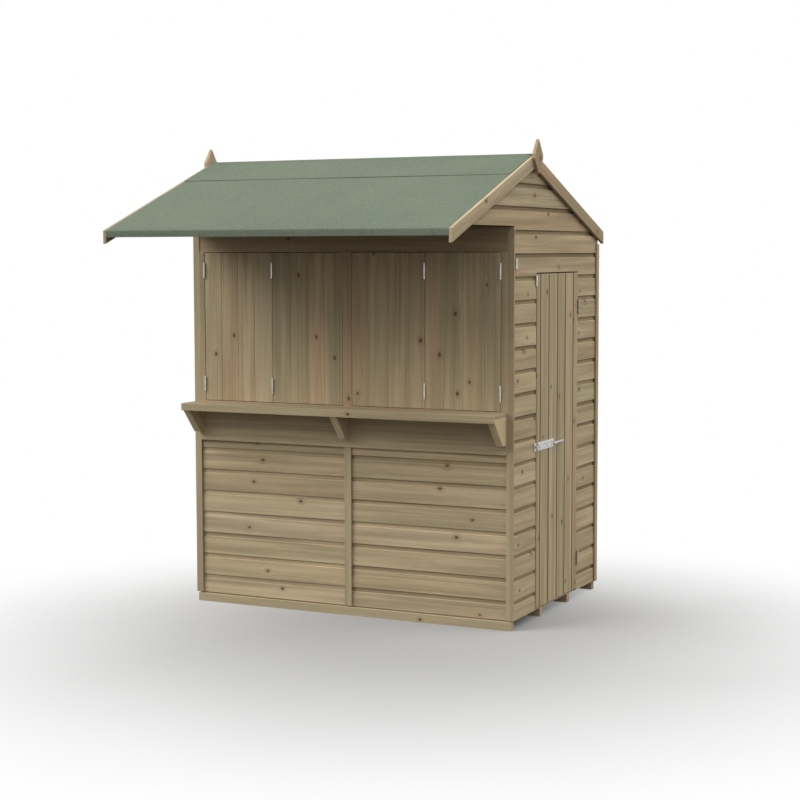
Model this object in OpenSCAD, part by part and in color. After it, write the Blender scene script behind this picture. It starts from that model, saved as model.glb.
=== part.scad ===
// Small wooden garden bar: an apex shed whose roof runs forward over a serving hatch and a counter.
// Origin on the ground under the middle of the ridge. -Y is the serving side, +X is the door end.

/* [Building] */
// Width of the building over its end walls
bar_w = 1830; // [1500:10:2400]
// Depth of the building over its front trims and rear wall
bar_d = 1210; // [1000:10:1800]
// Distance from the front of the building back to the ridge
ridge_set = 231; // [180:1:420]
// Thickness of the wall cladding
clad_t = 12; // [10:1:20]
// Height of the cladding's lower edge above the ground
clad_low = 49; // [47:1:54]
// Side of the square framing timbers
stud = 28; // [24:1:45]
// Width of the corner trims
trim_w = 38; // [30:1:60]
// Thickness of the front corner trims and the centre strip
trim_t = 10; // [8:1:16]
// Thickness of the trims at the rear corners
rear_trim_t = 8; // [6:1:12]

/* [Floor] */
// Height of the floor bearers
bearer_h = 44; // [38:1:46]
// Width of the floor bearers
bearer_w = 35; // [30:1:50]
// Thickness of the floor deck
floor_t = 12; // [10:1:18]

/* [Roof] */
// Height of the roof's underside over the outer face of the rear wall
rear_h = 1970; // [1900:5:2200]
// Slope of the roof in degrees
roof_pitch = 20.2; // [16:0.1:26]
// Thickness of the roof boards
deck_t = 10; // [8:1:18]
// Reach of the roof past the outer face of the rear wall
eave_over = 29; // [24:1:60]
// Reach of the roof past each end wall
deck_over = 4; // [2:1:20]
// Thickness of the roofing felt
felt_t = 3; // [2:0.5:4]
// Depth of the felt folded down over each eave
felt_drip = 33; // [22:1:50]
// Distance that the ridge strip of felt reaches down each slope, measured level
ridge_strip = 300; // [150:10:400]
// Width of the barge boards, square to the slope
barge_w = 61; // [45:1:90]
// Thickness of the barge boards and finials
barge_t = 16; // [12:1:22]
// Width of the diamond finials
finial_w = 128; // [90:1:160]
// Height of the diamond finials
finial_h = 172; // [120:1:220]
// Height of the finials' points above the felt on the ridge
finial_up = 70; // [40:1:100]
// Depth of the ridge beam
beam_d = 70; // [50:1:100]
// Height of the lower edge of the boards that close the ends of the canopy
cheek_low = 1990; // [1975:1:2050]
// Height of the joint between the end walls and the gables
gable_low = 1971; // [1900:1:1985]

/* [Hatch] */
// Height of the hatch opening's sill
hatch_low = 1082; // [1000:1:1150]
// Height of the hatch opening's head
hatch_high = 1865; // [1700:5:1880]
// Width of the post on each side of the hatch
post_w = 30; // [24:1:60]
// Width of the post between the two pairs of shutters
mullion_w = 51; // [40:1:80]
// Thickness of the shutters' boards
leaf_t = 12; // [10:1:16]
// Clearance round each shutter
leaf_gap = 3; // [2.6:0.1:6]
// Thickness of the shutters' inner ledges
ledge_t = 18; // [14:1:24]
// Height of the ledges on the shutters and the door
ledge_h = 60; // [45:1:90]
// Radius of the hinge knuckles on the shutters
knuckle_r = 4.5; // [3.5:0.1:6]
// Length of the shutter hinges
hinge_len = 80; // [60:1:100]

/* [Counter] */
// How much shorter the counter shelf is than the building
shelf_short = 58; // [30:2:200]
// Sideways shift of the shelf from the middle of the building
shelf_shift = -8; // [-12:1:8]
// Reach of the shelf from the front of the building
shelf_reach = 168; // [120:1:260]
// Thickness of the shelf
shelf_t = 20; // [16:1:30]
// Thickness of the shelf's front strip
edge_t = 18; // [12:1:24]
// Height of the shelf's front strip
edge_h = 38; // [30:1:50]
// Thickness of the three gusset brackets
bracket_t = 38; // [28:1:50]
// Depth of the brackets below the top of the shelf
bracket_drop = 159; // [120:1:220]
// Reach of each bracket's foot in front of the building
bracket_foot = 44; // [20:1:60]
// Height of the board under the counter
fascia_h = 187; // [120:1:220]
// Reach of that board in front of the corner trims
fascia_out = 5; // [2:1:10]

/* [Door] */
// Distance from the front of the building to the door leaf
door_set = 306; // [240:1:400]
// Width of the door leaf
door_w = 586; // [450:2:640]
// Height of the door leaf's lower edge
door_low = 60; // [58:1:70]
// Height of the door leaf's upper edge
door_high = 1754; // [1600:2:1790]
// Thickness of the door's boards
door_t = 12; // [10:1:12]
// Clearance round the door leaf
door_gap = 6; // [5.2:0.1:8]
// Radius of the door hinges' knuckles
door_knuckle_r = 5; // [4:0.1:6]
// Radius of the door hinges' pins
pin_r = 2.5; // [2:0.1:3]
// Radial clearance of the pins in the knuckles
pin_gap = 0.05; // [0.02:0.01:0.1]
// Length of the door hinges
door_hinge_len = 80; // [60:1:100]
// Height of the lower door hinge's middle
hinge_low_z = 225; // [180:5:400]
// Height of the upper door hinge's middle
hinge_high_z = 1575; // [1300:5:1650]
// Width of each hinge plate
plate_w = 24; // [18:1:40]
// Thickness of the hinge plates
plate_t = 1.5; // [1:0.1:2]

/* [Fastenings] */
// Height of the pad bolt's rod
bolt_z = 884; // [700:1:1100]
// Length of the pad bolt's back plate
bolt_plate_l = 220; // [200:1:260]
// Width of the pad bolt's back plate
bolt_plate_w = 42; // [30:1:60]
// Thickness of the pad bolt's back plate
bolt_plate_t = 2; // [1.5:0.1:3]
// Radius of the pad bolt's rod
rod_r = 5; // [4:0.1:6]
// Radial clearance of the rod in its guides
rod_gap = 0.1; // [0.05:0.01:0.1]
// Length of the pad bolt's rod
rod_len = 355; // [300:5:400]
// Length of each turn button
button_l = 56; // [40:1:70]
// Width of each turn button
button_w = 14; // [10:1:20]
// Thickness of each turn button
button_t = 5; // [2:0.5:6]
// Height of the turn button at the top of the door
door_button_z = 1721; // [1500:1:1740]
// Height of the turn buttons that hold the folded shutters
corner_button_z = 1807; // [1500:1:1850]

/* [Hidden] */

// Colours
pine = [0.66, 0.59, 0.44];
pine_light = [0.72, 0.66, 0.51];
pine_dark = [0.50, 0.43, 0.31];
felt_green = [0.35, 0.49, 0.40];
zinc = [0.74, 0.75, 0.76];

// Small clearance between a piece and a sloping seat
seat = 0.3;
// Thickness of the bond between two layers of felt
bond = 0.1;
// Gap that keeps neighbouring timbers of one frame apart
split = 0.5;
// Distance that a cut runs past the piece that it cuts
cut = 1;

// Outer planes of the building
end_x = bar_w / 2;
front_y = -ridge_set;
rear_y = front_y + bar_d;
clad_front_y = front_y + trim_t;
frame_front_y = clad_front_y + clad_t;
frame_rear_y = rear_y - clad_t;
frame_x = end_x - clad_t;
room_x = frame_x - stud;
floor_top = bearer_h + floor_t;

// Heights along the roof
slope = tan(roof_pitch);
deck_v = deck_t / cos(roof_pitch);
felt_v = felt_t / cos(roof_pitch);
barge_v = barge_w / cos(roof_pitch);
ridge_under = rear_h + rear_y * slope;
function under_z(y) = ridge_under - abs(y) * slope;
eave_y = rear_y + eave_over;
felt_y = eave_y + felt_t;
deck_x = end_x + deck_over;
felt_rise = deck_v + felt_v;
strip_rise = felt_rise + bond;
drip_z = under_z(felt_y) + felt_rise - felt_drip;
finial_top = ridge_under + strip_rise + felt_v + finial_up;
front_top = under_z(clad_front_y) - seat;
trim_top = cheek_low - 5;

shelf_w = bar_w - shelf_short;

// Hatch
post_x = end_x - trim_w - post_w;
shelf_top = hatch_low - 4;
shelf_under = shelf_top - shelf_t;
leaf_w = (post_x - mullion_w / 2 - 3 * leaf_gap) / 2;
leaf_y = front_y + 1;
leaf_low = hatch_low + leaf_gap;
leaf_high = hatch_high - leaf_gap;
fascia_y = front_y - fascia_out;
fascia_low = shelf_under - fascia_h;
shutter_hinge_z = [leaf_low + 87, leaf_high - 92];
knuckle_y = front_y - knuckle_r - 0.2;
outer_leaf_x = post_x - leaf_gap - leaf_w;
inner_leaf_x = mullion_w / 2 + leaf_gap;
shutter_hinge_x = [post_x - leaf_gap / 2, outer_leaf_x - leaf_gap / 2];

// Door
door_front = front_y + door_set - door_gap;
door_rear = door_front + door_w + 2 * door_gap;
leaf_front = door_front + door_gap;
leaf_rear = door_rear - door_gap;
head_low = door_high + door_gap;
hinge_x = end_x + door_knuckle_r + 0.3;
hinge_y = door_rear - door_gap / 2;
third = door_hinge_len / 3;
ledge_z = [door_low + 130, (door_low + door_high) / 2 - ledge_h / 2, door_high - 190];
brace_w = 60;

// Fastenings
rod_x = end_x + bolt_plate_t + rod_r + 2;
rod_front = leaf_front + 5;
guide_t = 12;
bolt_plate_y = leaf_front + 14;
guide_step = (bolt_plate_l - guide_t) / 2;
grip_y = bolt_plate_y + 2 * guide_step - 20;
grip_reach = 26;
keep_y = leaf_front - door_gap - 28;
keep_w = 24;
button_x = end_x + 2;
pivot_r = 3;
pivot_head_r = 6;
pivot_head_t = 2;
door_button_y = leaf_front - 17;
corner_button_y = front_y + 20;

// A block between two corners
module block(x0, x1, y0, y1, z0, z1) {
    translate([x0, y0, z0])
        cube([x1 - x0, y1 - y0, z1 - z0]);
}

// An outline in the plane of the end walls, as [y, z] points, made solid from x0 to x1
module profile(x0, x1, points) {
    translate([x0, 0, 0])
        rotate([90, 0, 90])
            linear_extrude(height = x1 - x0)
                polygon(points);
}

// The space under the roof boards, less a small seating gap
module under_roof(x0, x1, low) {
    profile(x0, x1, [[-eave_y, low], [eave_y, low], [eave_y, under_z(eave_y) - seat],
        [0, ridge_under - seat], [-eave_y, under_z(eave_y) - seat]]);
}

// A level cylinder along Y
module rod_y(x, y0, y1, z, r) {
    translate([x, y0, z])
        rotate([-90, 0, 0])
            cylinder(h = y1 - y0, r = r, $fn = 48);
}

// A level cylinder along X
module rod_x_axis(x0, x1, y, z, r) {
    translate([x0, y, z])
        rotate([0, 90, 0])
            cylinder(h = x1 - x0, r = r, $fn = 48);
}

// An upright cylinder
module rod_z(x, y, z0, z1, r) {
    translate([x, y, z0])
        cylinder(h = z1 - z0, r = r, $fn = 48);
}

// ---- Floor ----

module floor_bearers() {
    run = (bar_d - bearer_w) / 3;
    color(pine)
        for (i = [0:3])
            block(-end_x + trim_t, end_x - trim_t,
                front_y + i * run, front_y + i * run + bearer_w, 0, bearer_h);
}

module floor_deck() {
    color(pine)
        block(-frame_x + split, frame_x - split,
            frame_front_y + split, frame_rear_y - split, bearer_h, floor_top);
}

// ---- End walls ----

// Cladding of an end wall between two heights, cut to the slope of the roof
module end_slab(x0, x1, y0, y1, z0, z1) {
    intersection() {
        block(x0, x1, y0, y1, z0, z1);
        under_roof(x0 - cut, x1 + cut, z0 - cut);
    }
}

module left_wall() {
    color(pine)
        end_slab(-end_x, -frame_x, clad_front_y, rear_y, clad_low, gable_low);
}

module gable(x0, x1) {
    intersection() {
        block(x0, x1, clad_front_y, rear_y, gable_low, ridge_under);
        under_roof(x0 - cut, x1 + cut, gable_low - cut);
    }
}

module left_gable() {
    color(pine)
        gable(-end_x, -frame_x);
}

module right_gable() {
    color(pine)
        gable(frame_x, end_x);
}

// Boards that close the end of the canopy in front of the building
module canopy_cheek(x0, x1) {
    intersection() {
        block(x0, x1, -eave_y + eave_over + split, clad_front_y, cheek_low, ridge_under);
        under_roof(x0 - cut, x1 + cut, cheek_low - cut);
    }
}

module canopy_cheeks() {
    color(pine) {
        canopy_cheek(-end_x, -frame_x);
        canopy_cheek(frame_x, end_x);
    }
}

module right_wall_front() {
    color(pine)
        block(frame_x, end_x, clad_front_y, door_front, clad_low, head_low);
}

module right_wall_rear() {
    color(pine)
        block(frame_x, end_x, door_rear, rear_y, clad_low, head_low);
}

module right_wall_head() {
    color(pine)
        end_slab(frame_x, end_x, clad_front_y, rear_y, head_low, gable_low);
}

// Studs of an end wall at the given places, as high as the gable's lower edge or the roof, and
// the rails between them: no floor rail crosses the door's bay
module end_frame(x0, places, door_bay) {
    for (y = places)
        intersection() {
            block(x0, x0 + stud, y, y + stud, floor_top, gable_low);
            under_roof(x0 - cut, x0 + stud + cut, floor_top - cut);
        }
    for (i = [0:len(places) - 2]) {
        a = places[i] + stud + split;
        b = places[i + 1] - split;
        if (i != door_bay)
            block(x0, x0 + stud, a, b, floor_top, floor_top + stud);
        for (z = [head_low + split, gable_low - stud])
            block(x0, x0 + stud, a, b, z, z + stud);
    }
}

module end_wall_frames() {
    last_y = frame_rear_y - stud;
    color(pine) {
        end_frame(-frame_x, [frame_front_y, (frame_front_y + last_y) / 2, last_y], -1);
        end_frame(room_x, [frame_front_y, door_front - stud, door_rear, last_y], 1);
    }
}

// ---- Rear wall ----

module rear_wall() {
    color(pine)
        block(-frame_x, frame_x, frame_rear_y, rear_y, clad_low, rear_h - seat);
}

// Studs of a long wall at the given places, and the rails between them at the given heights
module long_frame(y0, places, rails, top) {
    for (x = places)
        block(x, x + stud, y0, y0 + stud, floor_top, top);
    for (i = [0:len(places) - 2])
        for (z = rails)
            block(places[i] + stud + split, places[i + 1] - split, y0, y0 + stud, z, z + stud);
}

module long_wall_frames() {
    last_x = room_x - stud;
    rear_top = rear_h - seat;
    color(pine) {
        long_frame(frame_rear_y - stud, [-room_x, -last_x / 3 - stud / 2, last_x / 3, last_x],
            [floor_top, rear_top - stud], rear_top);
        long_frame(frame_front_y, [-room_x, -stud / 2, last_x],
            [floor_top, shelf_under - stud, hatch_high + 40, front_top - stud], front_top);
    }
}

// ---- Front wall ----

module front_panel_left() {
    color(pine)
        block(-frame_x, 0, clad_front_y, frame_front_y, clad_low, shelf_under);
}

module front_panel_right() {
    color(pine)
        block(0, frame_x, clad_front_y, frame_front_y, clad_low, shelf_under);
}

// Trims on the front corners, strip over the joint of the front panels, trims at the rear
module wall_trims() {
    color(pine_light) {
        block(-trim_w / 2, trim_w / 2, front_y, clad_front_y, clad_low, fascia_low);
        for (side = [-1, 1]) {
            front_x = side < 0 ? -end_x : end_x - trim_w;
            block(front_x, front_x + trim_w, front_y, clad_front_y, clad_low, trim_top);
            rear_x = side < 0 ? -end_x - rear_trim_t : end_x;
            block(rear_x, rear_x + rear_trim_t, rear_y - trim_w, rear_y, clad_low,
                rear_h - barge_v);
        }
    }
}

module hatch_head_board() {
    color(pine)
        block(-end_x + trim_w, end_x - trim_w, front_y + 4, frame_front_y, hatch_high, trim_top);
}

module front_top_boards() {
    color(pine)
        block(-frame_x + split, frame_x - split, clad_front_y, frame_front_y, trim_top, front_top);
}

module hatch_posts() {
    color(pine_light) {
        for (side = [-1, 1]) {
            low = side < 0 ? -post_x - post_w : post_x;
            block(low, low + post_w, front_y, frame_front_y, hatch_low, hatch_high);
        }
        block(-mullion_w / 2, mullion_w / 2, front_y, frame_front_y, hatch_low, hatch_high);
    }
}

module hatch_sill() {
    color(pine)
        block(-end_x + trim_w, end_x - trim_w, front_y, frame_front_y, shelf_under, hatch_low);
}

// A shutter from its lower edge at x0: upright boards on two inner ledges
module shutter(x0) {
    back = leaf_y + leaf_t;
    ledge_in = stud + 4;
    color(pine) {
        block(x0, x0 + leaf_w, leaf_y, back, leaf_low, leaf_high);
        for (z = [leaf_low + 80, leaf_high - 80 - ledge_h])
            block(x0 + ledge_in, x0 + leaf_w - ledge_in, back, back + ledge_t, z, z + ledge_h);
    }
}

module shutter_left_outer() {
    shutter(-outer_leaf_x - leaf_w);
}

module shutter_left_inner() {
    shutter(-inner_leaf_x - leaf_w);
}

module shutter_right_inner() {
    shutter(inner_leaf_x);
}

module shutter_right_outer() {
    shutter(outer_leaf_x);
}

module shutter_hinges() {
    tab = leaf_gap - 0.6;
    color(zinc)
        for (side = [-1, 1])
            for (x = shutter_hinge_x)
                for (z = shutter_hinge_z) {
                    rod_z(side * x, knuckle_y, z - hinge_len / 2, z + hinge_len / 2, knuckle_r);
                    block(side * x - tab / 2, side * x + tab / 2, knuckle_y, leaf_y + leaf_t,
                        z - hinge_len / 2, z + hinge_len / 2);
                }
}

// ---- Counter ----

shelf_x0 = shelf_shift - shelf_w / 2;
shelf_x1 = shelf_shift + shelf_w / 2;
strip_y = front_y - shelf_reach + edge_t;

module counter_shelf() {
    color(pine_light)
        block(shelf_x0, shelf_x1, strip_y, front_y, shelf_under, shelf_top);
}

module counter_edge_strip() {
    color(pine_light)
        block(shelf_x0, shelf_x1, strip_y - edge_t, strip_y, shelf_top - edge_h, shelf_top);
}

module counter_brackets() {
    foot_z = shelf_top - bracket_drop;
    color(pine_light)
        for (x = [shelf_x0, shelf_shift - bracket_t / 2, shelf_x1 - bracket_t])
            profile(x, x + bracket_t, [[fascia_y, foot_z], [fascia_y, shelf_under],
                [strip_y, shelf_under], [strip_y, shelf_top - edge_h],
                [front_y - bracket_foot, foot_z]]);
}

module counter_fascia() {
    color(pine)
        block(-end_x + trim_w, end_x - trim_w, fascia_y, clad_front_y, fascia_low, shelf_under);
}

// ---- Roof ----

// One timber along the building whose top follows the slope, between y0 and y1
module roof_timber(x0, x1, y0, y1, low) {
    profile(x0, x1, [[y0, low], [y1, low], [y1, under_z(y1) - seat], [y0, under_z(y0) - seat]]);
}

module roof_beams() {
    purlin_front = -(eave_y + ridge_set) / 2;
    purlin_rear = rear_y / 2;
    color(pine) {
        profile(-frame_x, frame_x, [[-stud / 2, ridge_under - beam_d],
            [stud / 2, ridge_under - beam_d], [stud / 2, under_z(stud / 2) - seat],
            [0, ridge_under - seat], [-stud / 2, under_z(stud / 2) - seat]]);
        for (y = [purlin_front, purlin_rear])
            roof_timber(-frame_x, frame_x, y, y + stud, under_z(abs(y) + stud) - stud);
        roof_timber(-end_x, end_x, -eave_y, -eave_y + eave_over, drip_z + 1);
        roof_timber(-end_x, end_x, rear_y, eave_y, drip_z + 1);
    }
}

// Roof boards of one slope: side is -1 in front and 1 behind
module roof_deck(side) {
    profile(-deck_x, deck_x, [[0, ridge_under], [0, ridge_under + deck_v],
        [side * eave_y, under_z(eave_y) + deck_v], [side * eave_y, under_z(eave_y)]]);
}

module roof_deck_front() {
    color(pine_dark)
        roof_deck(-1);
}

module roof_deck_rear() {
    color(pine_dark)
        roof_deck(1);
}

// Felt of one slope with its fold down over the eave
module felt(side) {
    profile(-deck_x, deck_x, [[0, ridge_under + deck_v], [0, ridge_under + felt_rise],
        [side * felt_y, under_z(felt_y) + felt_rise], [side * felt_y, drip_z],
        [side * eave_y, drip_z], [side * eave_y, under_z(eave_y) + deck_v]]);
}

module felt_front() {
    color(felt_green)
        felt(-1);
}

module felt_rear() {
    color(felt_green)
        felt(1);
}

module felt_ridge() {
    y = ridge_strip;
    color(felt_green)
        profile(-deck_x, deck_x, [[-y, under_z(y) + strip_rise], [0, ridge_under + strip_rise],
            [y, under_z(y) + strip_rise], [y, under_z(y) + strip_rise + felt_v],
            [0, ridge_under + strip_rise + felt_v], [-y, under_z(y) + strip_rise + felt_v]]);
}

module barge_board(x0, side) {
    profile(x0, x0 + barge_t, [[side * split / 2, ridge_under + felt_rise],
        [side * felt_y, under_z(felt_y) + felt_rise],
        [side * felt_y, under_z(felt_y) + felt_rise - barge_v],
        [side * split / 2, ridge_under + felt_rise - barge_v]]);
}

module barge_boards() {
    color(pine_light)
        for (x = [-deck_x - barge_t, deck_x])
            for (side = [-1, 1])
                barge_board(x, side);
}

module finials() {
    tip = 8;
    mid = finial_top - finial_h / 2;
    lean = tip * finial_h / finial_w;
    color(pine_light)
        for (x = [-deck_x - 2 * barge_t, deck_x + barge_t])
            profile(x, x + barge_t, [[0, mid - finial_h / 2],
                [finial_w / 2 - tip, mid - lean], [finial_w / 2 - tip, mid + lean],
                [0, mid + finial_h / 2],
                [-finial_w / 2 + tip, mid + lean], [-finial_w / 2 + tip, mid - lean]]);
}

// ---- Door ----

module door_leaf() {
    inner = end_x - door_t;
    ledge_side = 30;
    color(pine) {
        block(inner, end_x, leaf_front, leaf_rear, door_low, door_high);
        for (z = ledge_z)
            block(inner - ledge_t, inner, leaf_front + ledge_side, leaf_rear - ledge_side,
                z, z + ledge_h);
        for (i = [0, 1])
            profile(inner - ledge_t, inner, [
                [leaf_rear - ledge_side - brace_w, ledge_z[i] + ledge_h],
                [leaf_rear - ledge_side, ledge_z[i] + ledge_h],
                [leaf_front + ledge_side + brace_w, ledge_z[i + 1]],
                [leaf_front + ledge_side, ledge_z[i + 1]]]);
    }
}

// One door hinge about height z: the leaf side has the middle knuckle with its bore
module hinge_leaf_side(z) {
    difference() {
        union() {
            block(end_x, end_x + plate_t, hinge_y - door_gap / 2 - plate_w,
                hinge_y - door_knuckle_r - 1, z - door_hinge_len / 2, z + door_hinge_len / 2);
            block(end_x, end_x + plate_t, hinge_y - door_knuckle_r - 2, hinge_y,
                z - third / 2 + split, z + third / 2 - split);
            rod_z(hinge_x, hinge_y, z - third / 2 + split, z + third / 2 - split,
                door_knuckle_r);
        }
        rod_z(hinge_x, hinge_y, z - third, z + third, pin_r + pin_gap);
    }
}

module door_hinge_leaves() {
    color(zinc)
        for (z = [hinge_low_z, hinge_high_z])
            hinge_leaf_side(z);
}

// The wall side has the outer knuckles and the pin
module hinge_wall_side(z) {
    block(end_x, end_x + plate_t, hinge_y + door_knuckle_r + 1,
        hinge_y + door_gap / 2 + plate_w, z - door_hinge_len / 2, z + door_hinge_len / 2);
    for (side = [-1, 1]) {
        low = side < 0 ? z - door_hinge_len / 2 : z + third / 2 + split;
        high = side < 0 ? z - third / 2 - split : z + door_hinge_len / 2;
        block(end_x, end_x + plate_t, hinge_y, hinge_y + door_knuckle_r + 2, low, high);
        rod_z(hinge_x, hinge_y, low, high, door_knuckle_r);
    }
    rod_z(hinge_x, hinge_y, z - door_hinge_len / 2, z + door_hinge_len / 2, pin_r);
}

module door_hinge_plates() {
    color(zinc)
        for (z = [hinge_low_z, hinge_high_z])
            hinge_wall_side(z);
}

// ---- Fastenings ----

module pad_bolt_body() {
    color(zinc)
        difference() {
            union() {
                block(end_x, end_x + bolt_plate_t, bolt_plate_y, bolt_plate_y + bolt_plate_l,
                    bolt_z - bolt_plate_w / 2, bolt_z + bolt_plate_w / 2);
                for (i = [0:2])
                    block(end_x, rod_x + rod_r + 2, bolt_plate_y + i * guide_step,
                        bolt_plate_y + i * guide_step + guide_t,
                        bolt_z - rod_r - 2.5, bolt_z + rod_r + 2.5);
            }
            rod_y(rod_x, bolt_plate_y - cut, bolt_plate_y + bolt_plate_l + cut, bolt_z,
                rod_r + rod_gap);
        }
}

module pad_bolt_rod() {
    color(zinc) {
        rod_y(rod_x, rod_front, rod_front + rod_len, bolt_z, rod_r);
        rod_x_axis(rod_x, rod_x + grip_reach, grip_y, bolt_z, rod_r * 0.8);
    }
}

// Staple on the wall that takes the rod of the pad bolt
module bolt_keep() {
    difference() {
        union() {
            block(end_x, end_x + bolt_plate_t, keep_y, keep_y + keep_w,
                bolt_z - bolt_plate_w / 2, bolt_z + bolt_plate_w / 2);
            block(end_x, rod_x + rod_r + 3, keep_y + 6, keep_y + 6 + guide_t,
                bolt_z - rod_r - 3.5, bolt_z + rod_r + 3.5);
        }
        rod_y(rod_x, keep_y - cut, keep_y + keep_w + cut, bolt_z, rod_r + 1);
    }
}

// A turn button standing upright on its pivot: dir is 1 on the right end and -1 on the left
module turn_button(dir, y, z) {
    x0 = dir * button_x;
    low = min(x0, x0 + dir * button_t);
    round_r = button_w / 2;
    reach = button_l / 2 - round_r;
    color(zinc)
        difference() {
            union() {
                block(low, low + button_t, y - round_r, y + round_r, z - reach, z + reach);
                for (side = [-1, 1])
                    rod_x_axis(low, low + button_t, y, z + side * reach, round_r);
            }
            rod_x_axis(low - cut, low + button_t + cut, y, z, pivot_r + pin_gap);
        }
}

module door_turn_button() {
    turn_button(1, door_button_y, door_button_z);
}

module right_turn_button() {
    turn_button(1, corner_button_y, corner_button_z);
}

module left_turn_button() {
    turn_button(-1, corner_button_y, corner_button_z);
}

// Screw that holds a turn button, with its head outside
module button_pivot(dir, y, z) {
    spread = button_x + button_t + 0.2 - end_x;
    shank = dir > 0 ? end_x : -end_x - spread;
    head = dir > 0 ? end_x + spread : -end_x - spread - pivot_head_t;
    rod_x_axis(shank, shank + spread, y, z, pivot_r);
    rod_x_axis(head, head + pivot_head_t, y, z, pivot_head_r);
}

module wall_fastenings() {
    color(zinc) {
        bolt_keep();
        button_pivot(1, door_button_y, door_button_z);
        button_pivot(1, corner_button_y, corner_button_z);
        button_pivot(-1, corner_button_y, corner_button_z);
    }
}

floor_bearers();
floor_deck();
left_wall();
left_gable();
right_wall_front();
right_wall_rear();
right_wall_head();
right_gable();
canopy_cheeks();
end_wall_frames();
rear_wall();
long_wall_frames();
front_panel_left();
front_panel_right();
wall_trims();
hatch_head_board();
front_top_boards();
hatch_posts();
hatch_sill();
shutter_left_outer();
shutter_left_inner();
shutter_right_inner();
shutter_right_outer();
shutter_hinges();
counter_shelf();
counter_edge_strip();
counter_brackets();
counter_fascia();
roof_beams();
roof_deck_front();
roof_deck_rear();
felt_front();
felt_rear();
felt_ridge();
barge_boards();
finials();
door_leaf();
door_hinge_leaves();
door_hinge_plates();
pad_bolt_body();
pad_bolt_rod();
wall_fastenings();
door_turn_button();
right_turn_button();
left_turn_button();
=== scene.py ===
"""Looks of a small wooden garden bar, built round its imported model."""

import math
import random

import bmesh
import bpy
from bpy.props import FloatProperty, FloatVectorProperty, IntProperty, PointerProperty
from bpy.types import Operator, Panel, PropertyGroup
from mathutils import Matrix, Vector, noise


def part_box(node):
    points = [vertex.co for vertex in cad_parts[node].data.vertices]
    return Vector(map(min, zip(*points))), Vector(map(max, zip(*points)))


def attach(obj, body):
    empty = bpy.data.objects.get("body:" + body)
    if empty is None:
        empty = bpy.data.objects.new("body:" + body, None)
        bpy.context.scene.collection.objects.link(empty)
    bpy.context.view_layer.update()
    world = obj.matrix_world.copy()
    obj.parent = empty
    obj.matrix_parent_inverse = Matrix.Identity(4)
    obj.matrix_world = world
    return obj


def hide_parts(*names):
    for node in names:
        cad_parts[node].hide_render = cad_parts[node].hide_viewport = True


bl_info = {
    "name": "Garden Bar",
    "version": (1, 0, 0),
    "blender": (4, 5, 0),
    "location": "3D View > Sidebar > Garden Bar",
    "description": "Builds the boards, felt and fittings of a garden bar round its packed model",
    "category": "Object",
}

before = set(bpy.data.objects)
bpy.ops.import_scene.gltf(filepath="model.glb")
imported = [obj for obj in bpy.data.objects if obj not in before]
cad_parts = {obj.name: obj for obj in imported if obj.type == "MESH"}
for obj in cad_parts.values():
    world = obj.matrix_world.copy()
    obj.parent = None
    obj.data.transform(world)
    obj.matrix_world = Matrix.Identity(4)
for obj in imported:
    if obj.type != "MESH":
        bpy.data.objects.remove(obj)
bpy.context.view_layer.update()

# Planes of the building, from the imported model
END_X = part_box("right_wall_head")[1].x
FRAME_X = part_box("right_wall_head")[0].x
FRONT_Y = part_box("wall_trims")[0].y
CLAD_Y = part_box("front_panel_left")[0].y
REAR_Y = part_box("rear_wall")[1].y
CLAD_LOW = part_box("left_wall")[0].z
GABLE_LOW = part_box("left_wall")[1].z
CLAD_T = END_X - FRAME_X
STUD = 0.028
# Thickness of the boards of the door and the shutters
LEAF_T = 0.012

# The roof's slope, the height of its underside at the ridge and the layers on it
DECK_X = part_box("felt_front")[1].x
EAVE_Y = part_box("roof_deck_rear")[1].y
FELT_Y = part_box("felt_rear")[1].y
DRIP_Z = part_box("felt_rear")[0].z
ROOF_FALL = math.radians(20.2)
SLOPE = math.tan(ROOF_FALL)
RIDGE_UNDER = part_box("roof_deck_rear")[0].z + EAVE_Y * SLOPE
DECK_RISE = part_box("roof_deck_rear")[1].z - RIDGE_UNDER
FELT_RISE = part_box("felt_rear")[1].z - RIDGE_UNDER
STRIP_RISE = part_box("felt_ridge")[1].z - RIDGE_UNDER
BARGE_DROP = 0.065


def under_roof(y):
    """Height of the roof's underside at a distance from the ridge."""
    return RIDGE_UNDER - abs(y) * SLOPE


# ---- What a user would change ----


def length(name, description, default, least, most):
    return FloatProperty(
        name=name, description=description, default=default, min=least, max=most, unit="LENGTH"
    )


def colour_of(name, description, default):
    return FloatVectorProperty(
        name=name, description=description, default=default, size=3, subtype="COLOR"
    )


class GardenBarSizes(PropertyGroup):
    course: length("Course", "Height that each lapped board shows", 0.114, 0.06, 0.2)
    first_lap: length("First lap", "Height of the lowest lap above the ground", 0.147, 0.1, 0.2)
    butt: length(
        "Butt", "How far a board's lower edge stands proud of the board below", 0.0103, 0.005, 0.011
    )
    taper: length(
        "Taper", "How much a lapped board thins from its lower edge to its shoulder", 0.0025, 0.0, 0.004
    )
    rebate: length("Rebate", "Height of the rebate along the top of each lapped board", 0.023, 0.005, 0.03)
    bow: length("Bow", "Most that a lapped board bows in from its plane", 0.0022, 0.0, 0.005)
    arris: length("Arris", "Width of the worn edges of the sawn boards", 0.0014, 0.0004, 0.004)
    nail: length("Nail", "Radius of the cladding nails' heads", 0.0021, 0.001, 0.005)
    felt_ripple: length("Felt ripple", "Height of the ripples in the roofing felt", 0.0009, 0.0, 0.003)
    shutter_boards: IntProperty(
        name="Shutter boards",
        description="Number of upright boards in each shutter",
        default=4,
        min=2,
        max=8,
    )


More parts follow.
